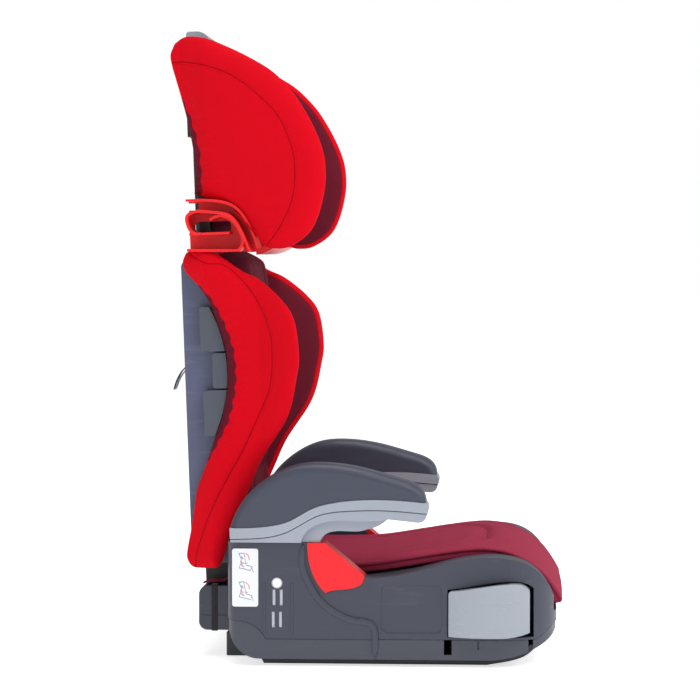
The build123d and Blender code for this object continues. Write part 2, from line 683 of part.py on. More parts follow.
def head_mast():
    """Flat mast that slides in the back shell, with a window for the latch."""
    x_range = (-MAST_HALF_WIDTH, MAST_HALF_WIDTH)
    mast = block(x_range, (MAST_FRONT_Y, MAST_REAR_Y), (MAST_BOTTOM_Z, 636))
    window = block((-17.4, 17.4), (160, 190), (LATCH_Z - 16, LATCH_Z + 26))
    ledge = block((-12.6, 12.6), (MAST_FRONT_Y, MAST_REAR_Y), (LATCH_Z - 16, LATCH_Z - 6.4))
    mast = mast - window + ledge
    for side in (-1, 1):
        x_range = sorted((side * 24, side * 52))
        mast = mast - block(x_range, (160, 178), (MAST_BOTTOM_Z + 12, 420))
    return mast


def head_guide():
    """Left shoulder-belt guide: a web with curved rims, and a slot that the belt runs in."""
    web_face = outline(
        GUIDE_LIP,
        [GUIDE_LIP[-1], (112, 423), (128, 426)],
        [(128, 426), (181, 428.5)],
        [(181, 428.5), (181, 482.5)],
    )
    slot_face = Pos(156, 454) * RectangleRounded(38, 11, 4)
    rear_gap = Pos(178, 475.6) * Rectangle(15, 7.4)
    web = slab(web_face - slot_face - rear_gap, 118, 122)
    foot = block((HEAD_HALF_WIDTH + SKIN_GAP, 119), (HEAD_FRONT_Y + 2, 169), (463, 480))
    rims = []
    for line, out_x in ((GUIDE_LIP, 150), (GUIDE_MID, 156), (GUIDE_HOOK, 153)):
        rims.append(slab(trace(Spline(*line), 3), 121, out_x))
    lower = slab(outline(
        [(126, 426), (181, 428.5)],
        [(181, 428.5), (181, 431.5)],
        [(181, 431.5), (126, 429)],
        [(126, 429), (126, 426)],
    ), 121, 153)
    sill = slab(Pos(157, 446.5) * Rectangle(42, 2.6), 121, 153)
    guide = web + foot + lower + sill
    for rim in rims:
        guide = guide + rim
    return guide & slab(Pos(150, 455) * Rectangle(100, 56.5), 100, 160)


def guide_bridge():
    """Red cross piece under the head cushion, between the two belt guides."""
    face = outline(
        [(112, 423), (100, 426), (92, 430)],
        [(92, 430), (96, 434)],
        [(96, 434), (104, 432), (112, 431)],
        [(112, 431), (112, 423)],
    )
    return slab(face, -116, 116)


def head_pad():
    """Head cushion between the wings."""
    face = outline(
        [(159.6, 448), (159.6, 648)],
        [(159.6, 648), (148, 646), (132, 634), (121, 610), (117, 560), (118, 500), (124, 462), (140, 447),
         (159.6, 448)],
    )
    return slab(face, -106, 106)


def head_wing():
    """Left padded wing of the headrest."""
    return slab(HEAD_SIDE, 100, 200) & extrude(HEAD_PLAN, 700)


def handle_bezel():
    """Light grip over the headrest's top, hollow behind for the fingers and the lever."""
    side = outline(
        [(160, HEAD_TOP_Z + 0.3), (161, 657)],
        [(161, 657), (166, 663.5), (174, GRIP_TOP_Z)],
        [(174, GRIP_TOP_Z), (182, GRIP_TOP_Z)],
        [(182, GRIP_TOP_Z), (185, GRIP_TOP_Z - 1.5), (GRIP_REAR_Y, GRIP_TOP_Z - 5)],
        [(GRIP_REAR_Y, GRIP_TOP_Z - 5), (GRIP_REAR_Y, HEAD_TOP_Z + 0.3)],
        [(GRIP_REAR_Y, HEAD_TOP_Z + 0.3), (160, HEAD_TOP_Z + 0.3)],
    )
    grip = slab(side, -GRIP_HALF_WIDTH, GRIP_HALF_WIDTH)
    return grip - block((-38, 38), (173, 200), (HEAD_TOP_Z - 5, GRIP_TOP_Z - GRIP_ROOF))


def release_lever():
    """Red squeeze bar under the grip, with a stem down to the pull rod."""
    bar = block((-34, 34), (175.5, 184.8), (HEAD_TOP_Z - 5, HEAD_TOP_Z + 2.5))
    bar = fillet(bar.edges().filter_by(Axis.X), 2.5)
    stem = block((-8, 8), (MAST_REAR_Y + 0.6, 182.2), (ROD_TOP_Z + 0.3, HEAD_TOP_Z - 1))
    return bar + stem


def pull_rod():
    """Flat rod from the lever to the latch, with a slanted slot in each fork cheek."""
    rod = block((-6, 6), (MAST_REAR_Y + 0.6, 182.2), (LATCH_Z + 16, ROD_TOP_Z))
    yoke = block((-17, 17), (MAST_REAR_Y - 6, 182.2), (LATCH_Z + 9, LATCH_Z + 16))
    rod = rod + yoke
    pin_y = MAST_REAR_Y - 1.4
    for side in (-1, 1):
        x_range = sorted((side * 13.2, side * 17))
        cheek = block(x_range, (pin_y - LATCH_TRAVEL - 3.6, 182.2), (LATCH_Z - 12, LATCH_Z + 9))
        rod = rod + cheek
    path_face = make_hull([
        *(Pos(pin_y, LATCH_Z) * Circle(1.6)).edges(),
        *(Pos(pin_y - LATCH_TRAVEL, LATCH_Z - LEVER_TRAVEL) * Circle(1.6)).edges(),
    ])
    return rod - slab(path_face, -20, 20)


def height_latch():
    """Sliding tooth that sits in a hole of the height strip."""
    tooth = block((-12, 12), (MAST_FRONT_Y - 4, MAST_REAR_Y), (LATCH_Z - 6, LATCH_Z + 6))
    tip = block((-12, 12), (MAST_REAR_Y, BACK_REAR_Y - WALL - 0.6), (LATCH_Z - 6, LATCH_Z + 6))
    pin_y = MAST_REAR_Y - 1.4
    return tooth + tip - cross_rod(1.5, (-20, 20), pin_y, LATCH_Z)


def latch_pin():
    """Steel cross pin of the latch, which rides in the fork's slots."""
    return cross_rod(1.5, (-17.2, 17.2), MAST_REAR_Y - 1.4, LATCH_Z)


def lever_springs():
    """Two small coil springs that push the lever down."""
    springs = []
    for x in (-20, 20):
        base = Pos(x, 180.4, HEAD_TOP_Z + 3.3)
        path = Helix(pitch=2.4, height=8.2, radius=3)
        springs.append(base * sweep(Plane(path @ 0, z_dir=path % 0) * Circle(0.45), path))
    return springs


def head_screws():
    """Screws that hold the mast in the head shell."""
    places = [(x, z) for x in (-48, 48) for z in (480, 600)]
    return [Pos(x, MAST_FRONT_Y - 1.3, z) * Rot(90, 0, 0) * Cylinder(4, 2.2) for x, z in places]


# ---------------------------------------------------------------- write the nodes

save("base_top_shell", base_top_shell())
save("base_bottom_shell", base_bottom_shell())
save("base_floor_plate", base_floor_plate())
FOOT = rear_foot()
save("rear_feet", Compound([FOOT, other_side(FOOT)]))
save("base_screws", Compound(base_screws()))
BEHIND_WALL = block((70, 130), (REAR_Y + SKIN_GAP, 200), (0, 100))
LUG = pivot_lug(LUG_SPLIT_Z, LUG_TOP_Z) & BEHIND_WALL
save("pivot_lugs", Compound([LUG, other_side(LUG)]))
CAP = pivot_lug(LUG_BOTTOM_Z, LUG_SPLIT_Z - SKIN_GAP) & BEHIND_WALL
save("pivot_caps", Compound([CAP, other_side(CAP)]))
save_pair("cup_pocket", cup_sleeve())
ROD_END = LUG_OUT - LUG_SIDE_WALL - RUNNING_GAP
save("pivot_rod", cross_rod(ROD_R, (-ROD_END, ROD_END), PIVOT_Y, PIVOT_Z))
save_pair("belt_guide", belt_guide())
save("seat_pad", seat_pad())
STRAP = lug_strap()
save("lug_straps", Compound([STRAP, other_side(STRAP)]))
save("info_label", slab(Pos(129.3, 91.6) * RectangleRounded(27, 60, 2.5), -HALF_WIDTH - 0.35, -HALF_WIDTH - 0.05))
BADGE = cross_rod(5.6, (HALF_WIDTH + 0.05, HALF_WIDTH + 0.8), 96.3, 86.3)
save("side_badges", Compound([BADGE, other_side(BADGE)]))
BARS = slit_bars((HALF_WIDTH - WALL + 0.2, HALF_WIDTH - 0.6), 0.05)
save("slit_inserts", Compound(BARS + [other_side(bar) for bar in BARS]))

save_pair("arm_pad", arm_pad())
save_pair("arm_band", arm_band())
save_pair("arm_lower", arm_lower())
save_pair("arm_post", arm_post())
save_pair("arm_screws", Compound(arm_screws()))
save_pair("cup_holder", cup_holder())

save("back_shell", lean(back_shell()))
save("back_front_panel", lean(back_front_panel()))
save("height_rack", lean(height_rack()))
save("back_hooks", lean(Compound(back_hooks())))
save_pair("wing_frame", lean(Compound(wing_frame())))
save("back_pad", lean(back_pad()))
save_pair("back_wing", lean(back_wing()))
save("care_tag", lean(care_tag()))
save("back_screws", lean(Compound(back_screws())))

save("head_shell", lean(head_shell()))
save("head_mast", lean(head_mast()))
save_pair("head_guide", lean(head_guide()))
save("guide_bridge", lean(guide_bridge()))
save("head_pad", lean(head_pad()))
save_pair("head_wing", lean(head_wing()))
save("handle_bezel", lean(handle_bezel()))
save("head_screws", lean(Compound(head_screws())))
save("release_lever", lean(release_lever()))
save("pull_rod", lean(pull_rod()))
save("height_latch", lean(height_latch()))
save("latch_pin", lean(latch_pin()))
save("lever_springs", lean(Compound(lever_springs())))
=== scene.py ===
"""Looks of a high-back booster seat: padded covers, trim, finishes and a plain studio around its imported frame."""

import json
import logging
import math
from dataclasses import dataclass, field, replace
from enum import Enum

import bmesh
import bpy
import numpy as np
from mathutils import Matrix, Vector


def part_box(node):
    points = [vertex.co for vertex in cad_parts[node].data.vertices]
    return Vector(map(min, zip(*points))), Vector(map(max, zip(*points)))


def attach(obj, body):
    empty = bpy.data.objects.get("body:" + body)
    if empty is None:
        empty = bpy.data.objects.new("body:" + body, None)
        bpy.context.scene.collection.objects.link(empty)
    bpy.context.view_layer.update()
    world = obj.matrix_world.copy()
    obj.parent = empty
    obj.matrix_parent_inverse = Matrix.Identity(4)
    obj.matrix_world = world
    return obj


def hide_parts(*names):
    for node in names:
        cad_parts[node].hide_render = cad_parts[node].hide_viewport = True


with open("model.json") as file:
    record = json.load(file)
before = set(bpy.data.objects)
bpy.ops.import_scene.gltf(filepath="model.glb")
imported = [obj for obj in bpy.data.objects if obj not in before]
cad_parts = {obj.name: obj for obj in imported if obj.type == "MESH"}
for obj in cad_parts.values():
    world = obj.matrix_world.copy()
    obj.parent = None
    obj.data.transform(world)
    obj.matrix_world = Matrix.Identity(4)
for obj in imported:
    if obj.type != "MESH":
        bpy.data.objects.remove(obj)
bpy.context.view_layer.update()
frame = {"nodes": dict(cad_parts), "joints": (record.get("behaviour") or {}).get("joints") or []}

MM = 0.001
TAU = 2 * math.pi
WELD = 1e-6
RIM_WELD = 0.9 * MM
LOG = logging.getLogger("booster_seat")

JOINTS = {joint["name"]: joint for joint in frame["joints"]}
HINGE = np.array(JOINTS["backrest_recline"]["pos_m"])
RAIL = JOINTS["headrest_height"]["axis"]
LEAN = math.atan2(RAIL[1], RAIL[2])


class Side(Enum):
    """Side of the seat, as the child sits; the value is the sign of X."""

    LEFT = 1
    RIGHT = -1

    @property
    def suffix(self) -> str:
        """Ending of a node's or piece's name on this side."""
        return self.name.lower()


# ------------------------------------------------------------------ shader maths


def linear(red: float, green: float, blue: float) -> tuple:
    """Linear colour of a display colour given as 0 to 255."""
    return tuple(((c / 255 + 0.055) / 1.055) ** 2.4 for c in (red, green, blue))


def scaled_colour(colour: tuple, factor: float) -> tuple:
    """The colour made lighter or darker."""
    return tuple(min(1.0, c * factor) for c in colour)


class Field:
    """A value that varies over a surface: one output socket, with arithmetic that adds Math nodes."""

    def __init__(self, shader: "Shader", socket: bpy.types.NodeSocket) -> None:
        """Wrap a socket of a shader's tree."""
        self.shader = shader
        self.socket = socket

    def math(self, operation: str, *values: "Field | float") -> "Field":
        """Add a Math node.

        Args:
            operation: Name of the node's operation.
            values: Its inputs in order.

        Returns:
            The node's result.
        """
        inputs = dict(enumerate(values))
        return self.shader.node("ShaderNodeMath", {"operation": operation}, inputs)

    def __add__(self, other: "Field | float") -> "Field":
        """Sum."""
        return self.math("ADD", self, other)

    def __radd__(self, other: float) -> "Field":
        """Sum, reflected."""
        return self.math("ADD", other, self)

    def __sub__(self, other: "Field | float") -> "Field":
        """Difference."""
        return self.math("SUBTRACT", self, other)

    def __rsub__(self, other: float) -> "Field":
        """Difference, reflected."""
        return self.math("SUBTRACT", other, self)

    def __mul__(self, other: "Field | float") -> "Field":
        """Product."""
        return self.math("MULTIPLY", self, other)

    def __rmul__(self, other: float) -> "Field":
        """Product, reflected."""
        return self.math("MULTIPLY", other, self)

    def __truediv__(self, other: "Field | float") -> "Field":
        """Quotient."""
        return self.math("DIVIDE", self, other)

    def __pow__(self, other: float) -> "Field":
        """Power."""
        return self.math("POWER", self, other)

    def __abs__(self) -> "Field":
        """Size without its sign."""
        return self.math("ABSOLUTE", self)

    def wave(self, pitch: float) -> "Field":
        """Sine wave of this length, in metres, that repeats every pitch."""
        return self.math("SINE", self * (TAU / pitch))

    def most(self, other: "Field | float") -> "Field":
        """The larger of the two."""
        return self.math("MAXIMUM", self, other)

    def least(self, other: "Field | float") -> "Field":
        """The smaller of the two."""
        return self.math("MINIMUM", self, other)

    def ramp(self, low: float, high: float) -> "Field":
        """Smooth step from 0 at low to 1 at high."""
        settings = {"interpolation_type": "SMOOTHSTEP"}
        inputs = {"Value": self, "From Min": low, "From Max": high}
        return self.shader.node("ShaderNodeMapRange", settings, inputs, "Result")


def find_socket(sockets: bpy.types.bpy_prop_collection, key: "int | str") -> bpy.types.NodeSocket:
    """Socket with this place, identifier or name."""
    if isinstance(key, int):
        return sockets[key]
    return next(socket for socket in sockets if key in (socket.identifier, socket.name))


class Shader:
    """One material, built node by node."""

    def __init__(self, name: str) -> None:
        """Start an empty material."""
        self.material = bpy.data.materials.new(name)
        self.material.use_nodes = True
        self.tree = self.material.node_tree
        self.tree.nodes.clear()

    def node(
        self, kind: str, settings: "dict | None" = None, inputs: "dict | None" = None, output: "int | str" = 0
    ) -> Field:
        """Add any node.

        Args:
            kind: The node's type.
            settings: Its own properties, set first.
            inputs: Values or fields, by socket.
            output: The socket that the result is read from.

        Returns:
            That output.
        """
        made = self.tree.nodes.new(kind)
        for key, value in (settings or {}).items():
            setattr(made, key, value)
        for key, value in (inputs or {}).items():
            socket = find_socket(made.inputs, key)
            if isinstance(value, Field):
                self.tree.links.new(value.socket, socket)
            elif socket.type == "RGBA":
                socket.default_value = (*value, 1.0)
            else:
                socket.default_value = value
        return Field(self, find_socket(made.outputs, output))

    def place(self) -> Field:
        """Position on the object, in metres."""
        return self.node("ShaderNodeTexCoord", output="Object")

    def uv(self) -> Field:
        """The cloth's own flat position, in metres."""
        return self.node("ShaderNodeUVMap", {"uv_map": "Cloth"})

    def split(self, vector: Field) -> tuple:
        """The three parts of a vector."""
        made = self.node("ShaderNodeSeparateXYZ", inputs={0: vector}).socket.node
        return tuple(Field(self, made.outputs[i]) for i in range(3))

    def attribute(self, name: str) -> Field:
        """A number that the mesh carries."""
        return self.node("ShaderNodeAttribute", {"attribute_name": name}, output="Fac")

    def stretched(self, vector: Field, factors: tuple) -> Field:
        """The vector with its parts multiplied."""
        return self.node("ShaderNodeVectorMath", {"operation": "MULTIPLY"}, {0: vector, 1: factors})

    def noise(self, vector: Field, scale: float, detail: float = 2.0) -> Field:
        """Soft noise from 0 to 1, with this many lumps in a metre."""
        return self.node("ShaderNodeTexNoise", {}, {"Vector": vector, "Scale": scale, "Detail": detail}, "Fac")

    def mix(self, share: "Field | float", first: "Field | tuple", second: "Field | tuple") -> Field:
        """Colour between two, by the share of the second."""
        settings = {"data_type": "RGBA", "clamp_factor": True}
        inputs = {"Factor_Float": share, "A_Color": first, "B_Color": second}
        return self.node("ShaderNodeMix", settings, inputs, "Result_Color")

    def soft_edges(self, radius: float) -> Field:
        """Surface direction with every sharp edge rounded by a radius."""
        return self.node("ShaderNodeBevel", {"samples": 4}, {"Radius": radius})

    def edge_share(self, rounded: Field) -> Field:
        """How far the rounded direction leaves the true one: 0 on a flat, more on an edge."""
        true = self.node("ShaderNodeNewGeometry", output="Normal")
        along = self.node("ShaderNodeVectorMath", {"operation": "DOT_PRODUCT"}, {0: rounded, 1: true}, "Value")
        return 1 - along

    def relief(self, height: Field, depth: float, under: "Field | None" = None) -> Field:
        """Fine relief of a depth in metres, on top of another surface direction."""
        inputs = {"Height": height, "Distance": depth, "Strength": 1.0}
        if under is not None:
            inputs["Normal"] = under
        return self.node("ShaderNodeBump", {}, inputs)

    def close(self, **values: "Field | float | tuple") -> bpy.types.Material:
        """End the material in a Principled shader; a socket's name is given with _ for each space."""
        inputs = {name.replace("_", " "): value for name, value in values.items()}
        surface = self.node("ShaderNodeBsdfPrincipled", {}, inputs)
        end = self.tree.nodes.new("ShaderNodeOutputMaterial")
        self.tree.links.new(surface.socket, end.inputs["Surface"])
        return self.material


# ------------------------------------------------------------------ finishes


@dataclass(frozen=True)
class Fabric:
    """Plain woven polyester, in one colour or with a second one where the mesh's trim field is positive."""

    name: str
    colour: tuple
    trim: "tuple | None" = None
    thread: float = 1.5 * MM
    weave_depth: float = 0.10 * MM
    seam_width: float = 0.9
    sheen: float = 0.25
    rough: float = 0.82

    def material(self) -> bpy.types.Material:
        """Weave, faint clouding, fuzz, and painted shade in the sunk seams, with darker stitches along them."""
        shader = Shader(self.name)
        across, along, _ = shader.split(shader.uv())
        place = shader.place()
        weave = across.wave(self.thread) * along.wave(self.thread)
        cloud = shader.noise(place, 16, 3)
        fuzz = shader.noise(place, 1500, 2)
        colour = shader.mix(cloud, scaled_colour(self.colour, 0.90), scaled_colour(self.colour, 1.06))
        if self.trim:
            trim = shader.mix(cloud, scaled_colour(self.trim, 0.85), scaled_colour(self.trim, 1.12))
            colour = shader.mix(shader.attribute("trim").ramp(-0.35, 0.35), colour, trim)
        colour = shader.mix((weave * 0.5 + 0.5) * 0.10 + fuzz * 0.08, colour, scaled_colour(self.colour, 0.45))
        seam = abs(shader.attribute("cross")) + shader.attribute("seam").ramp(4.0, 7.0) * 30.0
        sunk = 1 - seam.ramp(0.1, self.seam_width)
        beside = 1 - abs(seam - 2.6).ramp(0.25, 0.55)
        stitch = beside * shader.attribute("run").wave(3.4 * MM).ramp(-0.2, 0.2)
        # Painted shade: the sunk seam grooves are darkened in the colour; the stitches beside them are darker
        # thread.
        colour = shader.mix(sunk * 0.6 + stitch * 0.16, colour, scaled_colour(self.colour, 0.25))
        height = weave * 0.5 + fuzz * 0.6 - sunk * 4.0 - stitch * 0.8
        return shader.close(
            Base_Color=colour,
            Roughness=(self.rough + 0.06 * fuzz),
            Normal=shader.relief(height, self.weave_depth),
            Sheen_Weight=self.sheen,
            Sheen_Roughness=0.45,
            Sheen_Tint=scaled_colour(self.colour, 2.2),
            Specular_IOR_Level=0.08,
        )


@dataclass(frozen=True)
class Plastic:
    """Moulded plastic with fine grain, softened edges that are a little worn, and light scuffs."""

    name: str
    colour: tuple
    rough: float = 0.42
    grain: float = 0.03 * MM
    grain_scale: float = 1300.0
    edge: float = 0.8 * MM
    wear: float = 0.18
    scuffs: float = 0.0
    coat: float = 0.0
    specular: float = 0.5

    def material(self) -> bpy.types.Material:
        """Grain and tone from noise, wear from how sharply the surface turns, scuffs from stretched noise."""
        shader = Shader(self.name)
        place = shader.place()
        tone = shader.noise(place, 9, 3)
        grain = shader.noise(place, self.grain_scale, 1)
        rounded = shader.soft_edges(self.edge)
        worn = shader.edge_share(rounded).ramp(0.03, 0.35) * shader.noise(place, 120, 2).ramp(0.25, 0.7)
        marks = shader.noise(shader.stretched(place, (1.0, 0.12, 1.0)), 150, 4).ramp(0.56, 0.72)
        colour = shader.mix(tone, scaled_colour(self.colour, 0.92), scaled_colour(self.colour, 1.10))
        pale = tuple(0.6 * c + 0.4 * 0.45 for c in self.colour)
        colour = shader.mix(worn * self.wear + marks * self.scuffs, colour, pale)
        rough = self.rough + (tone - 0.5) * 0.10 + marks * (0.12 + self.scuffs)
        return shader.close(
            Base_Color=colour,
            Roughness=rough,
            Normal=shader.relief(grain, self.grain, rounded),
            Coat_Weight=self.coat,
            Coat_Roughness=0.12,
            Specular_IOR_Level=self.specular,
        )


@dataclass(frozen=True)
class Metal:
    """Zinc-plated steel, drawn along X."""

    name: str
    colour: tuple
    rough: float = 0.32

    def material(self) -> bpy.types.Material:
        """Drawing lines from noise stretched along X, with a few dull patches."""
        shader = Shader(self.name)
        place = shader.place()
        lines = shader.noise(shader.stretched(place, (0.05, 1.0, 1.0)), 1800, 2)
        dull = shader.noise(place, 60, 3).ramp(0.5, 0.75)
        colour = shader.mix(dull, self.colour, scaled_colour(self.colour, 0.7))
        return shader.close(
            Base_Color=colour,
            Metallic=1.0,
            Roughness=self.rough + lines * 0.12 + dull * 0.2,
            Normal=shader.relief(lines, 0.02 * MM),
        )


@dataclass(frozen=True)
class Webbing:
    """Black woven elastic with ribs across its run."""

    name: str
    colour: tuple
    rib: float = 1.1 * MM

    def material(self) -> bpy.types.Material:
        """Ribs along the strap's own length, with a raised edge cord on each side; painted highlight on the rib
        crests and painted shade in their valleys.
        """
        shader = Shader(self.name)
        across, along, _ = shader.split(shader.uv())
        ribs = along.wave(self.rib)
        cords = across.wave(self.rib * 1.7)
        fuzz = shader.noise(shader.place(), 1600, 2)
        # Painted highlight and shade: the colour is lighter on the rib crests and darker in their valleys, following
        # the relief.
        colour = shader.mix(ribs * 0.5 + 0.5, scaled_colour(self.colour, 0.6), scaled_colour(self.colour, 1.5))
        return shader.close(
            Base_Color=colour,
            Roughness=0.8 + 0.1 * fuzz,
            Normal=shader.relief(ribs * 0.6 + cords * 0.4 + fuzz * 0.3, 0.12 * MM),
            Sheen_Weight=0.2,
        )


@dataclass(frozen=True)
class PrintedFilm:
    """White film with two small line drawings in grey and red; it holds no lettering."""

    name: str
    node: str
    ink: tuple = linear(96, 100, 110)
    red: tuple = linear(214, 60, 72)
    middles: tuple = (16.5, -13.5)
    strokes: tuple = (
        ((6.5, 8.5), (3.6, 2.0), 0.5), ((3.6, 2.0), (6.2, -6.5), 0.5), ((6.2, -6.5), (-5.5, -9.0), 0.6),
        ((1.2, 9.0), (0.2, 2.6), 0.4), ((0.2, 2.6), (-1.0, -3.6), 0.4), ((-1.0, -3.6), (-6.4, -4.8), 0.5),
        ((-5.5, -9.0), (-7.2, -4.8), 0.4), ((6.5, 8.5), (1.2, 9.0), 0.6), ((-6.4, -4.8), (-8.4, -10.5), 0.4),
        ((2.6, -1.2), (-2.4, -1.6), 0.4), ((3.6, 5.0), (2.4, 3.0), 1.0), ((4.4, -3.0), (1.4, -5.0), 0.9),
    )
    accents: tuple = (
        ((-0.6, 8.6), (-2.8, 6.8), 0.7), ((-2.8, 6.8), (-4.0, 4.2), 0.7), ((-4.0, 4.2), (-4.2, 1.8), 0.7),
        ((4.6, 0.6), (3.0, -2.2), 0.8),
    )

    def material(self) -> bpy.types.Material:
        """Strokes for a sketched seat and an arc beside it, twice, placed from the film's own box."""
        shader = Shader(self.name)
        low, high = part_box(self.node)
        _, y, z = shader.split(shader.place())
        across = (y - (low.y + high.y) / 2) / MM
        up = (z - (low.z + high.z) / 2) / MM
        wobble = (shader.noise(shader.place(), 260, 2) - 0.5) * 1.6
        ink, red = None, None
        for middle in self.middles:
            rise = up - middle + wobble
            for start, end, width in self.strokes:
                mark = self.stroke(across + wobble, rise, start, end, width)
                ink = mark if ink is None else ink.most(mark)
            for start, end, width in self.accents:
                mark = self.stroke(across, rise, start, end, width)
                red = mark if red is None else red.most(mark)
        fibre = shader.noise(shader.place(), 500, 3)
        colour = shader.mix(fibre * 0.06, linear(222, 224, 232), linear(190, 193, 200))
        colour = shader.mix(ink * 0.8, colour, self.ink)
        colour = shader.mix(red * 0.85, colour, self.red)
        return shader.close(Base_Color=colour, Roughness=0.35 + 0.1 * fibre, Coat_Weight=0.15)

    @staticmethod
    def stroke(across: Field, up: Field, start: tuple, end: tuple, width: float) -> Field:
        """One drawn line: 1 within half its width of the segment from start to end, in mm, fading over 0.3 mm."""
        run = (end[0] - start[0], end[1] - start[1])
        size = run[0] ** 2 + run[1] ** 2
        from_x, from_y = across - start[0], up - start[1]
        share = ((from_x * run[0] + from_y * run[1]) / size).most(0.0).least(1.0)
        gap = ((from_x - share * run[0]) ** 2 + (from_y - share * run[1]) ** 2) ** 0.5
        return 1 - gap.ramp(width / 2, width / 2 + 0.3)


@dataclass(frozen=True)
class Badge:
    """Plain round badge: a white domed face in a silver ring."""

    name: str
    node: str

    def material(self) -> bpy.types.Material:
        """Ring and face by distance from the badge's middle."""
        shader = Shader(self.name)
        low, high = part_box(self.node)
        _, y, z = shader.split(shader.place())
        out = ((y - (low.y + high.y) / 2) ** 2 + (z - (low.z + high.z) / 2) ** 2) ** 0.5
        ring = out.ramp(4.5 * MM, 4.8 * MM)
        speck = shader.noise(shader.place(), 900, 2)
        colour = shader.mix(ring, linear(226, 228, 230), linear(168, 171, 178))
        height = (1 - abs(out - 4.65 * MM).ramp(0.0, 0.4 * MM)) * -1.0 + speck * 0.05
        return shader.close(
            Base_Color=colour,
            Metallic=ring * 0.7,
            Roughness=0.25 + speck * 0.08,
            Normal=shader.relief(height, 0.3 * MM),
        )


RED = linear(206, 0, 24)
MAROON = linear(88, 22, 38)
CHARCOAL = linear(51, 54, 69)

FINISHES = {
    "red_cover": Fabric("red_cover", RED, MAROON, sheen=0.03),
    "maroon_cover": Fabric("maroon_cover", linear(152, 48, 72), sheen=0.15),
    "deep_maroon_cover": Fabric("deep_maroon_cover", MAROON, sheen=0.12),
    "charcoal": Plastic("charcoal_plastic", CHARCOAL, 0.40, scuffs=0.10),
    "tray": Plastic("tray_plastic", linear(56, 59, 72), 0.36, scuffs=0.06),
    "black": Plastic("black_plastic", linear(30, 31, 35), 0.5, grain=0.05 * MM, wear=0.1),
    "red_plastic": Plastic(
        "red_plastic", linear(226, 14, 26), 0.36, grain=0.01 * MM, wear=0.22, coat=0.08, specular=0.35
    ),
    "pale": Plastic("pale_plastic", linear(143, 150, 160), 0.26, grain=0.008 * MM, wear=0.1, coat=0.35),
    "band": Plastic("band_plastic", linear(147, 154, 166), 0.34, grain=0.012 * MM, wear=0.1),
    "insert": Plastic("insert_plastic", linear(172, 177, 188), 0.30, grain=0.008 * MM, wear=0.1),
    "ribbon": Fabric("ribbon", linear(214, 214, 216), thread=0.9 * MM),
    "soft_pad": Plastic("soft_touch", linear(55, 59, 75), 0.46, grain=0.05 * MM, wear=0.06, scuffs=0.04),
    "back_shell": Plastic("back_plastic", linear(77, 82, 109), 0.44, scuffs=0.30, wear=0.35, edge=1.2 * MM),
    "frame_block": Plastic("frame_plastic", linear(69, 75, 87), 0.36, wear=0.5, edge=1.4 * MM),
    "nylon": Plastic("natural_nylon", linear(190, 190, 184), 0.45, wear=0.05),
    "steel": Metal("plated_steel", (0.56, 0.56, 0.57)),
    "elastic": Webbing("woven_elastic", linear(34, 34, 38)),
    "film": PrintedFilm("printed_film", "info_label"),
    "badge": Badge("badge_face", "side_badges"),
}
CAD_FINISH = {
    "charcoal": ("base_top_shell", "pivot_lugs", "pivot_caps", "cup_pocket_left", "cup_pocket_right"),
    "tray": ("base_bottom_shell",),
    # Painted shade: base_floor_plate, the recessed plate under the base, is given black plastic for the dark band
    # there, which is the base's shaded underside.
    "black": (
        "base_floor_plate", "rear_feet", "back_front_panel", "head_shell", "head_mast", "back_hooks",
        "arm_post_left", "arm_post_right",
    ),
    "red_plastic": (
        "belt_guide_left", "belt_guide_right", "head_guide_left", "head_guide_right", "guide_bridge",
        "release_lever",
    ),
    "pale": ("cup_holder_left", "cup_holder_right", "handle_bezel"),
    "band": ("arm_band_left", "arm_band_right", "arm_lower_left", "arm_lower_right"),
    "insert": ("slit_inserts",),
    "soft_pad": ("arm_pad_left", "arm_pad_right"),
    "back_shell": ("back_shell",),
    "frame_block": ("wing_frame_left", "wing_frame_right"),
    "nylon": ("height_rack", "pull_rod", "height_latch"),
    "steel": (
        "base_screws", "pivot_rod", "back_screws", "head_screws", "latch_pin", "lever_springs",
        "arm_screws_left", "arm_screws_right",
    ),
    "film": ("info_label",),
    "badge": ("side_badges",),
}


class FinishShelf:
    """Makes each finish's material once, when it is first asked for."""

    def __init__(self) -> None:
        """Start empty."""
        self.made: dict = {}

    def get(self, name: str) -> bpy.types.Material:
        """Material of a finish."""
        if name not in self.made:
            self.made[name] = FINISHES[name].material()
        return self.made[name]


# ------------------------------------------------------------------ curves and surfaces


def evenly(points: np.ndarray, count: int) -> np.ndarray:
    """Points spaced evenly by length along a fine polyline.

    Args:
        points: The polyline.
        count: Number of points wanted.

    Returns:
        The new points, both ends kept.
    """
    steps = np.linalg.norm(np.diff(points, axis=0), axis=1)
    run = np.concatenate([[0.0], np.cumsum(steps)])
    wanted = np.linspace(0.0, run[-1], count)
    return np.stack([np.interp(wanted, run, points[:, i]) for i in range(points.shape[1])], axis=1)


def curve_through(points: tuple, count: int) -> np.ndarray:
    """Smooth curve through points: between two of them, the cubic whose end slopes follow their neighbours.

    Args:
        points: The points in order.
        count: Number of points wanted, evenly spaced by length.

    Returns:
        Array of count points.
    """
    knots = np.asarray(points, float)
    knots = np.vstack([2 * knots[0] - knots[1], knots, 2 * knots[-1] - knots[-2]])
    spans = len(knots) - 3
    at = np.linspace(0, spans - 1e-9, 30 * spans)
    first = at.astype(int)
    t = (at - first)[:, None]
    a, b, c, d = (knots[first + i] for i in range(4))
    fine = b + 0.5 * t * (c - a + t * (2 * a - 5 * b + 4 * c - d + t * (3 * (b - c) + d - a)))
    return evenly(fine, count)


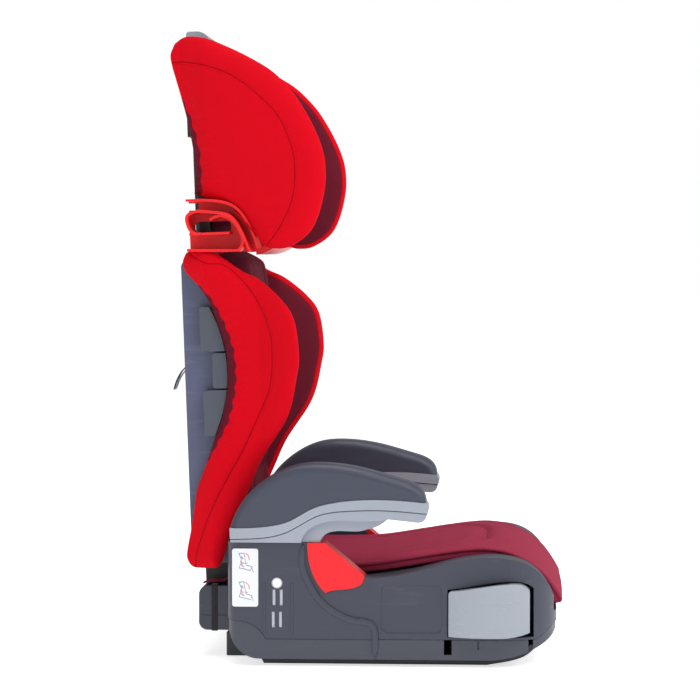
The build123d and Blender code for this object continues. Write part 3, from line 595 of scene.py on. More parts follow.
def distance_to(points: np.ndarray, line: np.ndarray) -> tuple:
    """Shortest distance from each point to a polyline.

    Args:
        points: Array whose last axis is a flat place.
        line: The polyline's points.

    Returns:
        The distances, and the length along the line where each nearest place lies.
    """
    flat = points.reshape(-1, 1, 2)
    start, step = line[:-1], np.diff(line, axis=0)
    size = np.maximum((step**2).sum(1), 1e-12)
    share = np.clip(((flat - start) * step).sum(2) / size, 0, 1)
    gap = np.linalg.norm(flat - start - share[..., None] * step, axis=2)
    best = gap.argmin(1)
    rows = np.arange(len(best))
    run = np.concatenate([[0.0], np.cumsum(np.sqrt(size))])
    along = run[best] + share[rows, best] * np.sqrt(size[best])
    return gap[rows, best].reshape(points.shape[:-1]), along.reshape(points.shape[:-1])


def side_of(points: np.ndarray, line: np.ndarray) -> np.ndarray:
    """+1 on the left of the nearest stretch of a polyline, and -1 on its right."""
    flat = points.reshape(-1, 1, 2)
    start, step = line[:-1], np.diff(line, axis=0)
    size = np.maximum((step**2).sum(1), 1e-12)
    share = np.clip(((flat - start) * step).sum(2) / size, 0, 1)
    off = flat - start - share[..., None] * step
    best = np.linalg.norm(off, axis=2).argmin(1)
    rows = np.arange(len(best))
    turn = step[best, 0] * off[rows, best, 1] - step[best, 1] * off[rows, best, 0]
    return np.where(turn < 0, -1.0, 1.0).reshape(points.shape[:-1])


def nearest_to_zero(*values: np.ndarray) -> np.ndarray:
    """Of several signed distances, the one nearest to zero at each place."""
    stack = np.stack(np.broadcast_arrays(*values))
    best = np.abs(stack).argmin(0)
    return np.take_along_axis(stack, best[None], 0)[0]


def rounded_rise(distance: np.ndarray, width: float) -> np.ndarray:
    """Quarter round: 0 at an edge, 1 from width inwards, as the height of a circle's arc."""
    return np.sqrt(1 - (1 - np.clip(distance / width, 0, 1)) ** 2)


def smooth_step(value: np.ndarray, low: float, high: float) -> np.ndarray:
    """0 below low, 1 above high, smooth between: 3t^2 - 2t^3."""
    t = np.clip((value - low) / (high - low), 0, 1)
    return t * t * (3 - 2 * t)


def leaned(points: np.ndarray) -> np.ndarray:
    """Upright backrest places in millimetres, turned to the resting lean about the hinge, in metres."""
    x, y, z = (points[..., i] * MM for i in range(3))
    dy, dz = y - HINGE[1], z - HINGE[2]
    cosine, sine = math.cos(LEAN), math.sin(LEAN)
    return np.stack([x, HINGE[1] + dy * cosine + dz * sine, HINGE[2] - dy * sine + dz * cosine], axis=-1)


@dataclass
class Patch:
    """A grid of points on a surface, with its flat cloth position and the numbers that its finish reads."""

    points: np.ndarray
    uv: np.ndarray
    fields: dict = field(default_factory=dict)
    turned: bool = False

    def mirrored(self) -> "Patch":
        """The same patch on the other side of the seat."""
        return replace(self, points=self.points * np.array([-1.0, 1.0, 1.0]), turned=not self.turned)

    def corners(self, start: int) -> np.ndarray:
        """Four vertex numbers for each cell of the grid, counted from start."""
        rows, columns = self.points.shape[:2]
        index = start + np.arange(rows * columns).reshape(rows, columns)
        cells = np.stack([index[:-1, :-1], index[1:, :-1], index[1:, 1:], index[:-1, 1:]], axis=-1).reshape(-1, 4)
        return cells[:, ::-1] if self.turned else cells


def make_piece(name: str, patches: list, caps: tuple = ()) -> bpy.types.Object:
    """Join patches into one closed mesh: places that coincide become one vertex, and every face looks outwards.

    Args:
        name: The piece's name.
        patches: Its surface patches, which share their edges.
        caps: Rings of vertex numbers that are closed by one face each.

    Returns:
        The new object, at the origin.
    """
    points = np.vstack([patch.points.reshape(-1, 3) for patch in patches])
    flat = np.vstack([patch.uv.reshape(-1, 2) for patch in patches])
    starts = np.cumsum([0] + [patch.points.shape[0] * patch.points.shape[1] for patch in patches])
    corners = np.vstack([patch.corners(start) for patch, start in zip(patches, starts)])
    keys = np.round(points / WELD).astype(np.int64)
    _, first, merged = np.unique(keys, axis=0, return_index=True, return_inverse=True)
    merged = merged.ravel()
    welded = merged[corners]
    distinct = welded != np.roll(welded, -1, axis=1)
    sides = distinct.sum(1)
    four, three = sides == 4, sides == 3
    triangles = welded[three][distinct[three]].reshape(-1, 3)
    faces = welded[four].tolist() + triangles.tolist() + [merged[list(ring)].tolist() for ring in caps]
    sources = [corners[four].ravel(), corners[three][distinct[three]].ravel(), *[np.array(ring) for ring in caps]]
    mesh = bpy.data.meshes.new(name)
    mesh.from_pydata(points[first], [], faces)
    places = flat[np.concatenate(sources)].astype(np.float32)
    mesh.uv_layers.new(name="Cloth").data.foreach_set("uv", places.ravel())
    for key in patches[0].fields:
        values = np.concatenate([patch.fields[key].ravel() for patch in patches])[first]
        mesh.attributes.new(key, "FLOAT", "POINT").data.foreach_set("value", values.astype(np.float32))
    mesh.polygons.foreach_set("use_smooth", np.ones(len(mesh.polygons), bool))
    mesh.update()
    shape = bmesh.new()
    shape.from_mesh(mesh)
    bmesh.ops.remove_doubles(shape, verts=[corner for corner in shape.verts if corner.is_boundary], dist=RIM_WELD)
    bmesh.ops.recalc_face_normals(shape, faces=shape.faces)
    shape.to_mesh(mesh)
    shape.free()
    piece = bpy.data.objects.new(name, mesh)
    bpy.context.scene.collection.objects.link(piece)
    return piece


def read_numbers(owner: bpy.types.bpy_prop_collection, key: str, width: int = 1) -> np.ndarray:
    """One property of every item, as an array."""
    values = np.zeros(len(owner) * width, np.float32)
    owner.foreach_get(key, values)
    return values.reshape(-1, width) if width > 1 else values


def puff(piece: bpy.types.Object, reach: float, pressure: float = 4.0, frames: int = 20) -> None:
    """Blow a closed cover out from inside by cloth simulation, held where its held field is 1.

    Args:
        piece: The closed cover; it needs a field named held.
        reach: The furthest that any point may move, in metres.
        pressure: Push on the cloth from inside.
        frames: Steps that are simulated.
    """
    held = read_numbers(piece.data.attributes["held"].data, "value")
    group = piece.vertex_groups.new(name="stitched")
    group.add(np.flatnonzero(held > 0.5).tolist(), 1.0, "REPLACE")
    cloth = piece.modifiers.new("puff", "CLOTH")
    settings = cloth.settings
    settings.quality = 5
    settings.mass = 0.3
    settings.tension_stiffness = settings.compression_stiffness = 12
    settings.shear_stiffness = 5
    settings.bending_stiffness = 0.8
    settings.use_pressure = True
    settings.uniform_pressure_force = pressure
    settings.vertex_group_mass = group.name
    settings.effector_weights.gravity = 0
    cloth.collision_settings.use_collision = False
    cloth.point_cache.frame_start, cloth.point_cache.frame_end = 1, frames
    before = read_numbers(piece.data.vertices, "co", 3)
    for step in range(1, frames + 1):
        bpy.context.scene.frame_set(step)
    evaluated = piece.evaluated_get(bpy.context.evaluated_depsgraph_get())
    after = read_numbers(evaluated.data.vertices, "co", 3)
    moved = after - before
    far = np.linalg.norm(moved, axis=1, keepdims=True)
    piece.modifiers.remove(cloth)
    piece.vertex_groups.remove(group)
    softened = reach * np.tanh(far / reach) / np.maximum(far, 1e-9)
    piece.data.vertices.foreach_set("co", (before + moved * softened).ravel())
    piece.data.update()
    bpy.context.scene.frame_set(1)


def subdivide(piece: bpy.types.Object, level: int = 1) -> None:
    """Finish a piece with a Subdivision Surface."""
    modifier = piece.modifiers.new("smooth", "SUBSURF")
    modifier.levels = modifier.render_levels = level


def copy_mirrored(piece: bpy.types.Object, name: str) -> bpy.types.Object:
    """A finished piece's twin on the other side of the seat, with its faces pointing outwards."""
    mesh = piece.data.copy()
    places = read_numbers(mesh.vertices, "co", 3) * np.array([-1, 1, 1], np.float32)
    mesh.vertices.foreach_set("co", places.ravel())
    mesh.flip_normals()
    twin = bpy.data.objects.new(name, mesh)
    bpy.context.scene.collection.objects.link(twin)
    subdivide(twin)
    return twin


def dress(piece: bpy.types.Object, body: str, material: bpy.types.Material, nodes: tuple = ()) -> None:
    """Give a new piece its material, its body and the CAD nodes that it stands for."""
    piece.data.materials.clear()
    piece.data.materials.append(material)
    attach(piece, body)
    if nodes:
        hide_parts(*nodes)
    LOG.info("%s rides on %s, %d faces", piece.name, body, len(piece.data.polygons))


# ------------------------------------------------------------------ padded wings


@dataclass(frozen=True)
class Fold:
    """A soft crease of a cover: a line from start to end, in (Y, Z), with its depth and half-width."""

    start: tuple
    end: tuple
    depth: float
    width: float

    def lift(self, places: np.ndarray) -> np.ndarray:
        """Height at each place: a bell across the line that fades to both ends."""
        a, b = np.array(self.start, float), np.array(self.end, float)
        along = ((places - a) @ (b - a)) / ((b - a) @ (b - a))
        gap = np.linalg.norm(places - a - np.clip(along, 0, 1)[..., None] * (b - a), axis=-1)
        fade = np.clip(1 - (2 * along - 1) ** 2, 0, 1)
        return -self.depth * fade * np.exp(-((gap / self.width) ** 2))


@dataclass
class PaddedWing:
    """A padded side wing, drawn upright for the child's left: outline and seam in (Y, Z), plan in (Y, X), in mm."""

    name: str
    body: str
    rear: tuple
    front: tuple
    plan_outer: tuple
    plan_inner: tuple
    seam: tuple
    folds: tuple
    gather_width: float
    gather_from: float
    gather_to: float
    gather_depth: float
    gather_pitch: float
    roll: float
    crown: float
    liner_edge: float = 5.0
    rows: int = 132
    columns: int = 52

    def sheets(self) -> list:
        """The wing's outer and inner sheets.

        A place in side view is P = R(v) + (F(v) - R(v)) e(u), with R the rear edge, F the front edge and e an easing
        that puts more columns at both edges. Across the seat it is X = middle(Y) + or - half(Y) * arc(d), where d is
        the distance to the outline and arc a quarter round.

        Returns:
            Two patches that share the outline.
        """
        rear = curve_through(self.rear, self.rows)
        front = curve_through(self.front, self.rows)
        front[0], front[-1] = rear[0], rear[-1]
        ease = 0.5 - 0.5 * np.cos(np.linspace(0, math.pi, self.columns))
        ease = 0.6 * ease + 0.4 * np.linspace(0, 1, self.columns)
        place = rear[:, None] + (front - rear)[:, None] * ease[None, :, None]
        edge = np.minimum(distance_to(place, rear)[0], distance_to(place, front)[0])
        from_rear, rear_run = distance_to(place, rear)
        from_front, front_run = distance_to(place, front)
        seam_line = curve_through(self.seam, 120)
        seam, seam_run = distance_to(place, seam_line)
        crossing = seam * side_of(place, seam_line)
        outer_x = self.across(self.plan_outer, place[..., 0])
        inner_x = self.across(self.plan_inner, place[..., 0])
        middle, half = (outer_x + inner_x) / 2, (outer_x - inner_x) / 2
        arc = rounded_rise(edge, self.roll)
        gather = self.gathers(rear_run, from_rear, place[..., 1]) * rounded_rise(edge, 3.0)
        outside = middle + half * arc + gather + sum(fold.lift(place) for fold in self.folds)
        outside += self.crown * rounded_rise(edge, 3 * self.roll) ** 2
        outside -= 1.3 * np.exp(-((seam / 1.6) ** 2)) * rounded_rise(edge, 6.0)
        inside = middle - half * rounded_rise(edge, 0.8 * self.roll) + 0.5 * gather
        inside += 1.0 * np.exp(-(((from_front - self.liner_edge) / 1.5) ** 2)) * rounded_rise(edge, 4.0)
        band = self.gather_band(place[..., 1]) + 1.1 * np.sin(rear_run * TAU / (1.7 * self.gather_pitch))
        sheets = []
        liner = from_front - self.liner_edge
        for x, trim, cross, run in (
            (outside, np.clip(band - from_rear, -20, 20), crossing, seam_run),
            (inside, np.clip(liner, -20, 20), liner, front_run),
        ):
            gap = np.abs(cross)
            points = leaned(np.stack([x, place[..., 0], place[..., 1]], axis=-1))
            held = (edge < 1.5) | (gap < 2.2)
            fields = {"trim": trim, "seam": gap, "cross": cross, "run": run * MM, "held": held.astype(float)}
            sheets.append(Patch(points, place * MM, fields))
        sheets[1].turned = True
        return sheets

    @staticmethod
    def across(plan: tuple, y: np.ndarray) -> np.ndarray:
        """X of a plan line at each Y."""
        line = np.array(sorted(plan), float)
        return np.interp(y, line[:, 0], line[:, 1])

    def gather_band(self, z: np.ndarray) -> np.ndarray:
        """Width of the gathered trim at each height; below zero where there is none."""
        middle = (self.gather_from + self.gather_to) / 2
        half = (self.gather_to - self.gather_from) / 2
        share = np.clip(1 - np.abs((z - middle) / half) ** 3, -0.3, 1)
        return self.gather_width * share

    def gathers(self, run: np.ndarray, from_rear: np.ndarray, z: np.ndarray) -> np.ndarray:
        """Puckers of the gathered edge: uneven waves along it that die away inwards."""
        waves = np.sin(run * TAU / self.gather_pitch + 1.3 * np.sin(run / 17.0))
        waves += 0.5 * np.sin(run * TAU / (0.61 * self.gather_pitch) + 2.0)
        strength = np.clip(self.gather_band(z) / self.gather_width, 0, 1)
        return self.gather_depth * strength * waves * np.exp(-from_rear / (2.2 * self.gather_width))

    def build(self, shelf: FinishShelf) -> None:
        """Make the left wing, blow it out a little, and mirror it to the right."""
        left = make_piece(f"{self.name}_cover_left", self.sheets())
        puff(left, 2.5 * MM)
        right = copy_mirrored(left, f"{self.name}_cover_right")
        subdivide(left)
        for piece, side in ((left, Side.LEFT), (right, Side.RIGHT)):
            dress(piece, self.body, shelf.get("red_cover"), (f"{self.name}_{side.suffix}",))


# ------------------------------------------------------------------ centre cushions


@dataclass
class CentreCushion:
    """A cushion between two wings, drawn upright: flat behind, crowned in front, with sewn channels, in mm."""

    name: str
    body: str
    node: str
    half_width: float
    low: float
    high: float
    back_y: float
    front: tuple
    edge_round: float
    channels_x: tuple
    channels_z: tuple
    corner_power: float = 7.0
    channel_depth: float = 4.0
    rows: int = 90
    columns: int = 70

    def sheets(self) -> list:
        """Front and back of the cushion.

        The outline is a superellipse |x|^n + |z|^n = 1; a place inside is the square grid's, scaled along its ray.
        The front stands off the back plane by T(Z) * arc(d), where d is the distance to the outline.

        Returns:
            Two patches that share the outline.
        """
        s = np.sin(np.linspace(-math.pi / 2, math.pi / 2, self.columns))[None, :]
        t = np.sin(np.linspace(-math.pi / 2, math.pi / 2, self.rows))[:, None]
        s, t = np.broadcast_arrays(s, t)
        power = self.corner_power
        size = (np.abs(s) ** power + np.abs(t) ** power) ** (1 / power)
        scale = np.maximum(np.abs(s), np.abs(t)) / np.maximum(size, 1e-9)
        half_height = (self.high - self.low) / 2
        x = self.half_width * s * scale
        z = (self.low + self.high) / 2 + half_height * t * scale
        place = np.stack([x, z], axis=-1)
        turn = np.linspace(0, TAU, 241)
        ring = np.stack([np.cos(turn), np.sin(turn)], axis=1)
        ring /= (np.abs(ring) ** power).sum(1)[:, None] ** (1 / power)
        rim = ring * [self.half_width, half_height] + [0, (self.low + self.high) / 2]
        edge, run = distance_to(place, rim)
        border = np.zeros_like(edge, bool)
        border[0] = border[-1] = border[:, 0] = border[:, -1] = True
        edge = np.where(border, 0.0, edge)
        lines = np.array(sorted((height, y) for y, height in self.front))
        thick = self.back_y - np.interp(z, lines[:, 0], lines[:, 1])
        upright = [np.abs(x) - line for line in self.channels_x]
        level = [z - line for line in self.channels_z]
        cross = nearest_to_zero(*upright, *level)
        gap = np.abs(cross)
        sunk = self.channel_depth * np.exp(-((gap / 4.0) ** 2))
        front = self.back_y - thick * rounded_rise(edge, self.edge_round) + sunk * rounded_rise(edge, 10.0)
        back = np.full(x.shape, self.back_y)
        sheets = []
        for y, seam, cross in ((front, gap, cross), (back, gap * 0 + 30.0, cross)):
            held = (edge < 3) | (seam < 3) | (y > self.back_y - 1)
            fields = {
                "trim": x * 0 - 20.0, "seam": seam, "cross": cross, "run": run * MM, "held": held.astype(float),
            }
            sheets.append(Patch(leaned(np.stack([x, y, z], axis=-1)), place * MM, fields))
        sheets[1].turned = True
        return sheets

    def build(self, shelf: FinishShelf) -> None:
        """Make the cushion and blow out its front between the channels."""
        piece = make_piece(self.name, self.sheets())
        puff(piece, 4 * MM)
        subdivide(piece)
        dress(piece, self.body, shelf.get("deep_maroon_cover"), (self.node,))


# ------------------------------------------------------------------ seat cushion


@dataclass
class SeatCushion:
    """The seat's cushion, swept from its rear edge over the deck and down in front of the lip, in mm."""

    half_width: float = 150.0
    thickness: float = 10.5
    piping: float = 2.1
    crown: float = 1.5
    profile: tuple = (
        (111, 100.5), (84, 102.7), (51, 102.7), (5, 104.2), (-44, 111.5), (-72, 116), (-100, 119.6),
        (-121, 120.2),
        (-143, 116.4), (-165, 106), (-181, 92.5), (-192, 78), (-198, 68), (-201, 60),
    )
    channel_half: float = 108.0
    channel_corner: float = 62.0
    channel_front: float = -118.0
    channel_depth: float = 3.2
    rows: int = 150
    across: int = 61

    def section(self) -> np.ndarray:
        """Closed section of the cushion as (X, height over the top line).

        Going round: the top, the piping as an arc of 250 degrees, the gusset, and the underside.
        """
        top = np.linspace(-1, 1, self.across) * (self.half_width - 2 * self.piping)
        turn = np.radians(np.linspace(130, -100, 9))
        bead = np.stack([self.half_width - self.piping + self.piping * np.cos(turn),
                         -0.4 + self.piping * np.sin(turn) - self.piping / 2], axis=1)
        wall_x = self.half_width - self.piping - np.array([0.6, 0.2, 0.0, 0.6, 2.4])
        wall_h = -np.array([4.2, 6.0, 8.0, 10.6, 12.0]) * self.thickness / 12
        wall = np.stack([wall_x, wall_h], axis=1)
        right = np.vstack([bead, wall])
        left = right[::-1] * [-1, 1]
        upper = np.stack([top, np.zeros(len(top))], axis=1)
        lower = np.stack([top[::-1] * 0.97, np.full(len(top), -self.thickness)], axis=1)
        return np.vstack([upper, right, lower, left, upper[:1]])

    def channel_gap(self, x: np.ndarray, y: np.ndarray) -> np.ndarray:
        """Distance outside the sewn loop, below zero inside it.

        The loop is two straight runs that round corners join in front.
        """
        ahead = self.channel_front + self.channel_corner
        inner = self.channel_half - self.channel_corner
        dx = np.maximum(np.abs(x) - inner, 0)
        dy = np.maximum(ahead - y, 0)
        return np.hypot(dx, dy) - self.channel_corner

    def surface(self) -> tuple:
        """Sweep the section along the profile.

        A place is C(t) + n(t) h, with C the profile, n its upward normal and h the section's height, lowered across
        by crown * (x / W)^2 and narrowed towards the front flap's lower end.

        Returns:
            One patch and its two end rings.
        """
        spine = curve_through(self.profile, self.rows)
        step = np.gradient(spine, axis=0)
        step /= np.linalg.norm(step, axis=1, keepdims=True)
        normal = np.stack([step[:, 1], -step[:, 0]], axis=1)
        run = np.concatenate([[0.0], np.cumsum(np.linalg.norm(np.diff(spine, axis=0), axis=1))])
        section = self.section()
        tip = np.minimum(run, run[-1] - run)
        closing = np.maximum(rounded_rise(tip, 6.0), 0.12)[:, None]
        flap = smooth_step(run, run[-1] - 75, run[-1])
        width = 1 - 0.10 * flap**2 - 0.05 * (1 - rounded_rise(tip, 25.0))
        x = section[None, :, 0] * width[:, None]
        share = section[:, 0] / self.half_width
        height = section[:, 1] + self.thickness / 2
        height = height[None, :] * closing - self.thickness / 2 - self.crown * share[None, :] ** 2
        along_y = spine[:, 0][:, None] + 0 * x
        loop = self.channel_gap(x, along_y)
        is_top = (np.arange(len(section)) < self.across)[None, :]
        gap = np.where(is_top, np.abs(loop), 30.0)
        height = height - self.channel_depth * np.exp(-((gap / 3.6) ** 2)) * closing
        height = height + 1.6 * np.exp(-(((gap - 13) / 8.0) ** 2)) * is_top * closing
        y = spine[:, 0][:, None] + normal[:, 0][:, None] * height
        z = spine[:, 1][:, None] + normal[:, 1][:, None] * height
        girth = np.concatenate([[0.0], np.cumsum(np.linalg.norm(np.diff(section, axis=0), axis=1))])
        uv = np.stack([girth[None, :] + 0 * x, run[:, None] + 0 * x], axis=-1) * MM
        edge = (np.abs(section[:, 0]) - (self.half_width - 2 * self.piping))[None, :] + 0 * x
        cross = np.where(is_top, nearest_to_zero(loop, edge), 30.0)
        seam = np.abs(cross)
        held = (~is_top | (seam < 2.5)) + 0 * x
        held[:3] = held[-3:] = 1
        fields = {"trim": x * 0 - 20.0, "seam": seam, "cross": cross, "run": uv[..., 1], "held": held}
        patch = Patch(np.stack([x, y, z], axis=-1) * MM, uv, fields, turned=False)
        count = len(section)
        last = (self.rows - 1) * count
        return patch, (tuple(range(count - 1))[::-1], tuple(range(last, last + count - 1)))

    def build(self, shelf: FinishShelf) -> None:
        """Make the cushion and blow out its top between the seams."""
        patch, caps = self.surface()
        piece = make_piece("seat_cushion", [patch], caps)
        puff(piece, 2.5 * MM)
        subdivide(piece)
        dress(piece, "base", shelf.get("maroon_cover"), ("seat_pad",))


# ------------------------------------------------------------------ strips and beads


@dataclass
class Strip:
    """A flat strip along a path in (Y, Z), centred on an X, in mm; if crosswise, in (X, Z) and centred on a Y."""

    path: tuple
    middle: float
    width: float
    thick: float
    count: int = 40
    upright: bool = False
    crosswise: bool = False

    def line(self) -> np.ndarray:
        """The smooth middle line."""
        return curve_through(self.path, self.count)

    def length(self) -> float:
        """Length of the middle line, in metres."""
        return float(np.linalg.norm(np.diff(self.line(), axis=0), axis=1).sum()) * MM

    def surface(self) -> tuple:
        """Sweep a slim rounded section along the line: X = middle + w cos a, height = t sin a, flattened.

        Returns:
            One patch and the end rings that close it.
        """
        line = self.line()
        step = np.gradient(line, axis=0)
        step /= np.linalg.norm(step, axis=1, keepdims=True)
        normal = np.stack([-step[:, 1], step[:, 0]], axis=1)
        turn = np.linspace(0, TAU, 17)
        flat_x = np.sign(np.cos(turn)) * np.abs(np.cos(turn)) ** 0.5 * self.width / 2
        flat_h = np.sign(np.sin(turn)) * np.abs(np.sin(turn)) ** 0.7 * self.thick / 2
        x = self.middle + flat_x[None, :] + 0 * line[:, :1]
        y = line[:, :1] + normal[:, :1] * flat_h[None, :]
        z = line[:, 1:] + normal[:, 1:] * flat_h[None, :]
        points = np.stack([y, x, z] if self.crosswise else [x, y, z], axis=-1)
        points = leaned(points) if self.upright else points * MM
        run = np.linspace(0, self.length(), self.count)
        uv = np.stack([x * MM, run[:, None] + 0 * x], axis=-1)
        plain = np.full(x.shape, -20.0)
        fields = {"trim": plain, "seam": plain + 50, "cross": plain + 50, "run": uv[..., 1], "held": plain * 0}
        count = len(turn)
        last = (self.count - 1) * count
        caps = (tuple(range(count - 1)), tuple(range(last, last + count - 1))[::-1])
        if self.crosswise:
            caps = tuple(ring[::-1] for ring in caps)
        return Patch(points, uv, fields, turned=not self.crosswise), caps


@dataclass
class BaseTrim:
    """Trim of the base: the cover's flaps and elastics at the hinge lugs, and the side panels' raised beads."""

    lug_x: float = 100.25
    strap_width: float = 6.5
    flap_width: float = 21.0
    bead_path: tuple = (
        (70, 126), (69.5, 101), (54, 71), (37, 56), (19, 48.2), (6, 46.6), (-1.5, 43.5), (-4.6, 36), (-5, 24),
        (-4.6, 12),
    )
    strap_y: float = 169.5
    strap_path: tuple = (
        (77.4, 69.5), (77.4, 72.8), (79, 74.6), (90, 74.7), (110, 74.7), (121, 74.6), (122.6, 72.8), (122.7, 60),
        (122.7, 42), (122.6, 28.2), (121, 26.4), (110, 26.3), (90, 26.3), (79, 26.4), (77.4, 28.2), (77.4, 42),
        (77.4, 54.5),
    )
    flap_path: tuple = (
        (116, 94), (136, 93), (146, 92.4), (151.5, 89), (155, 82.5), (161, 77.9), (174, 77.3), (183, 75.2),
    )

    def build(self, shelf: FinishShelf) -> None:
        """Make a strap, a cover flap and a bead on each side."""
        straps = []
        for side in Side:
            x = side.value * self.lug_x
            strip = Strip(self.strap_path, self.strap_y, self.strap_width, 1.1, count=120, crosswise=True)
            strap_patch, strap_caps = strip.surface()
            if side is Side.RIGHT:
                strap_patch = strap_patch.mirrored()
                strap_caps = tuple(ring[::-1] for ring in strap_caps)
            strap = make_piece(f"lug_elastic_{side.suffix}", [strap_patch], strap_caps)
            straps.append(strap)
            flap = Strip(self.flap_path, x, self.flap_width, 1.4)
            flap_patch, flap_caps = flap.surface()
            cover = make_piece(f"cover_flap_{side.suffix}", [flap_patch], flap_caps)
            dress(cover, "base", shelf.get("maroon_cover"))
            bead = self.bead(side)
            dress(bead, "base", shelf.get("charcoal"))
        for strap in straps:
            dress(strap, "base", shelf.get("elastic"), ("lug_straps",))

    def bead(self, side: Side) -> bpy.types.Object:
        """Raised rounded bead along a side panel's sweeping edge: a half ellipse carried along the edge."""
        along, around = 60, 15
        line = curve_through(self.bead_path, along)
        step = np.gradient(line, axis=0)
        step /= np.linalg.norm(step, axis=1, keepdims=True)
        normal = np.stack([-step[:, 1], step[:, 0]], axis=1)
        turn = np.linspace(0, TAU, around)
        to_end = np.minimum(np.arange(along), along - 1 - np.arange(along))
        fade = rounded_rise(to_end + 0.3, 5.0)[:, None]
        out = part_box("base_top_shell")[1].x / MM - 0.7
        rise = (np.sign(np.sin(turn)) * np.abs(np.sin(turn)) ** 0.6)[None, :]
        spread = (np.sign(np.cos(turn)) * np.abs(np.cos(turn)) ** 0.7)[None, :]
        x = out + 1.4 * rise * fade
        y = line[:, :1] + 3.3 * normal[:, :1] * spread * fade
        z = line[:, 1:] + 3.3 * normal[:, 1:] * spread * fade
        points = np.stack([side.value * x, y, z], axis=-1) * MM
        uv = points[..., 1:]
        patch = Patch(points, uv, turned=side is Side.LEFT)
        last = (along - 1) * around
        rings = (tuple(range(around - 1)), tuple(range(last, last + around - 1))[::-1])
        caps = rings if side is Side.LEFT else tuple(ring[::-1] for ring in rings)
        return make_piece(f"panel_bead_{side.suffix}", [patch], caps)


@dataclass
class CareTag:
    """Sewn-in tag behind the back shell: a folded ribbon, drawn upright, in mm."""

    width: float = 24.0
    thick: float = 0.5
    path: tuple = (
        (191.6, 310.6), (200, 306.2), (208.5, 299.5), (214.6, 290), (218.4, 280), (217.6, 278.6), (213.2, 288.6),
        (206.8, 297.6), (199, 304.2), (191.6, 308.4),
    )

    def build(self, shelf: FinishShelf) -> None:
        """Make the folded ribbon."""
        strip = Strip(self.path, 0.0, self.width, self.thick, count=60, upright=True)
        patch, caps = strip.surface()
        tag = make_piece("care_ribbon", [patch], caps)
        dress(tag, "backrest", shelf.get("ribbon"), ("care_tag",))
        self.width * MM


# ------------------------------------------------------------------ sub-assemblies


@dataclass
class Backrest:
    """Covers of the backrest."""

    body: str = "backrest"

    def wing(self) -> PaddedWing:
        """The wing beside the trunk."""
        return PaddedWing(
            name="back_wing",
            body=self.body,
            rear=(
                (177, 95.5), (189, 96), (195, 104), (195, 114), (189, 141), (182, 177), (174, 197), (166, 217),
                (160, 233), (152, 253), (147, 274), (144, 295), (145, 321), (150, 342), (161, 374), (172, 392),
                (185, 407), (188, 418), (184, 427),
            ),
            front=(
                (177, 95.5), (163, 95.5), (156, 105), (146, 134), (124, 181), (109, 211), (80, 254), (68, 296),
                (65, 319), (69, 354), (82, 375), (105, 396), (124, 406), (142, 419), (158, 429), (174, 431.5),
                (184, 427),
            ),
            plan_outer=((190, 142), (165, 154), (135, 160), (108, 164), (84, 180), (62, 197)),
            plan_inner=((64, 172), (90, 152), (112, 137), (134, 130), (152, 128.8), (196, 128.8)),
            seam=(
                (182, 428), (162.5, 416), (143.5, 413.5), (127, 400), (112, 381), (97, 348), (94, 320), (98, 285),
                (112, 254), (129, 220), (146, 192), (161, 166), (173, 141), (183, 114), (186, 98),
            ),
            folds=(
                Fold((168, 385), (120, 360), 1.4, 6.0), Fold((160, 240), (120, 262), 1.3, 5.0),
                Fold((178, 196), (150, 212), 1.4, 4.0), Fold((187, 150), (160, 172), 1.2, 5.0),
            ),
            gather_width=10.0,
            gather_from=206.0,
            gather_to=396.0,
            gather_depth=1.3,
            gather_pitch=8.5,
            roll=17.0,
            crown=2.5,
        )

    def build(self, shelf: FinishShelf) -> None:
        """Wings, centre cushion and tag."""
        self.wing().build(shelf)
        CentreCushion(
            name="back_cushion", body=self.body, node="back_pad", half_width=113.5, low=98.0, high=430.0,
            back_y=149.6,
            front=((140, 98), (131, 120), (127, 192), (123, 290), (119, 390), (122, 416), (134, 430)),
            edge_round=16.0, channels_x=(62.0,), channels_z=(190.0, 300.0),
        ).build(shelf)
        CareTag().build(shelf)


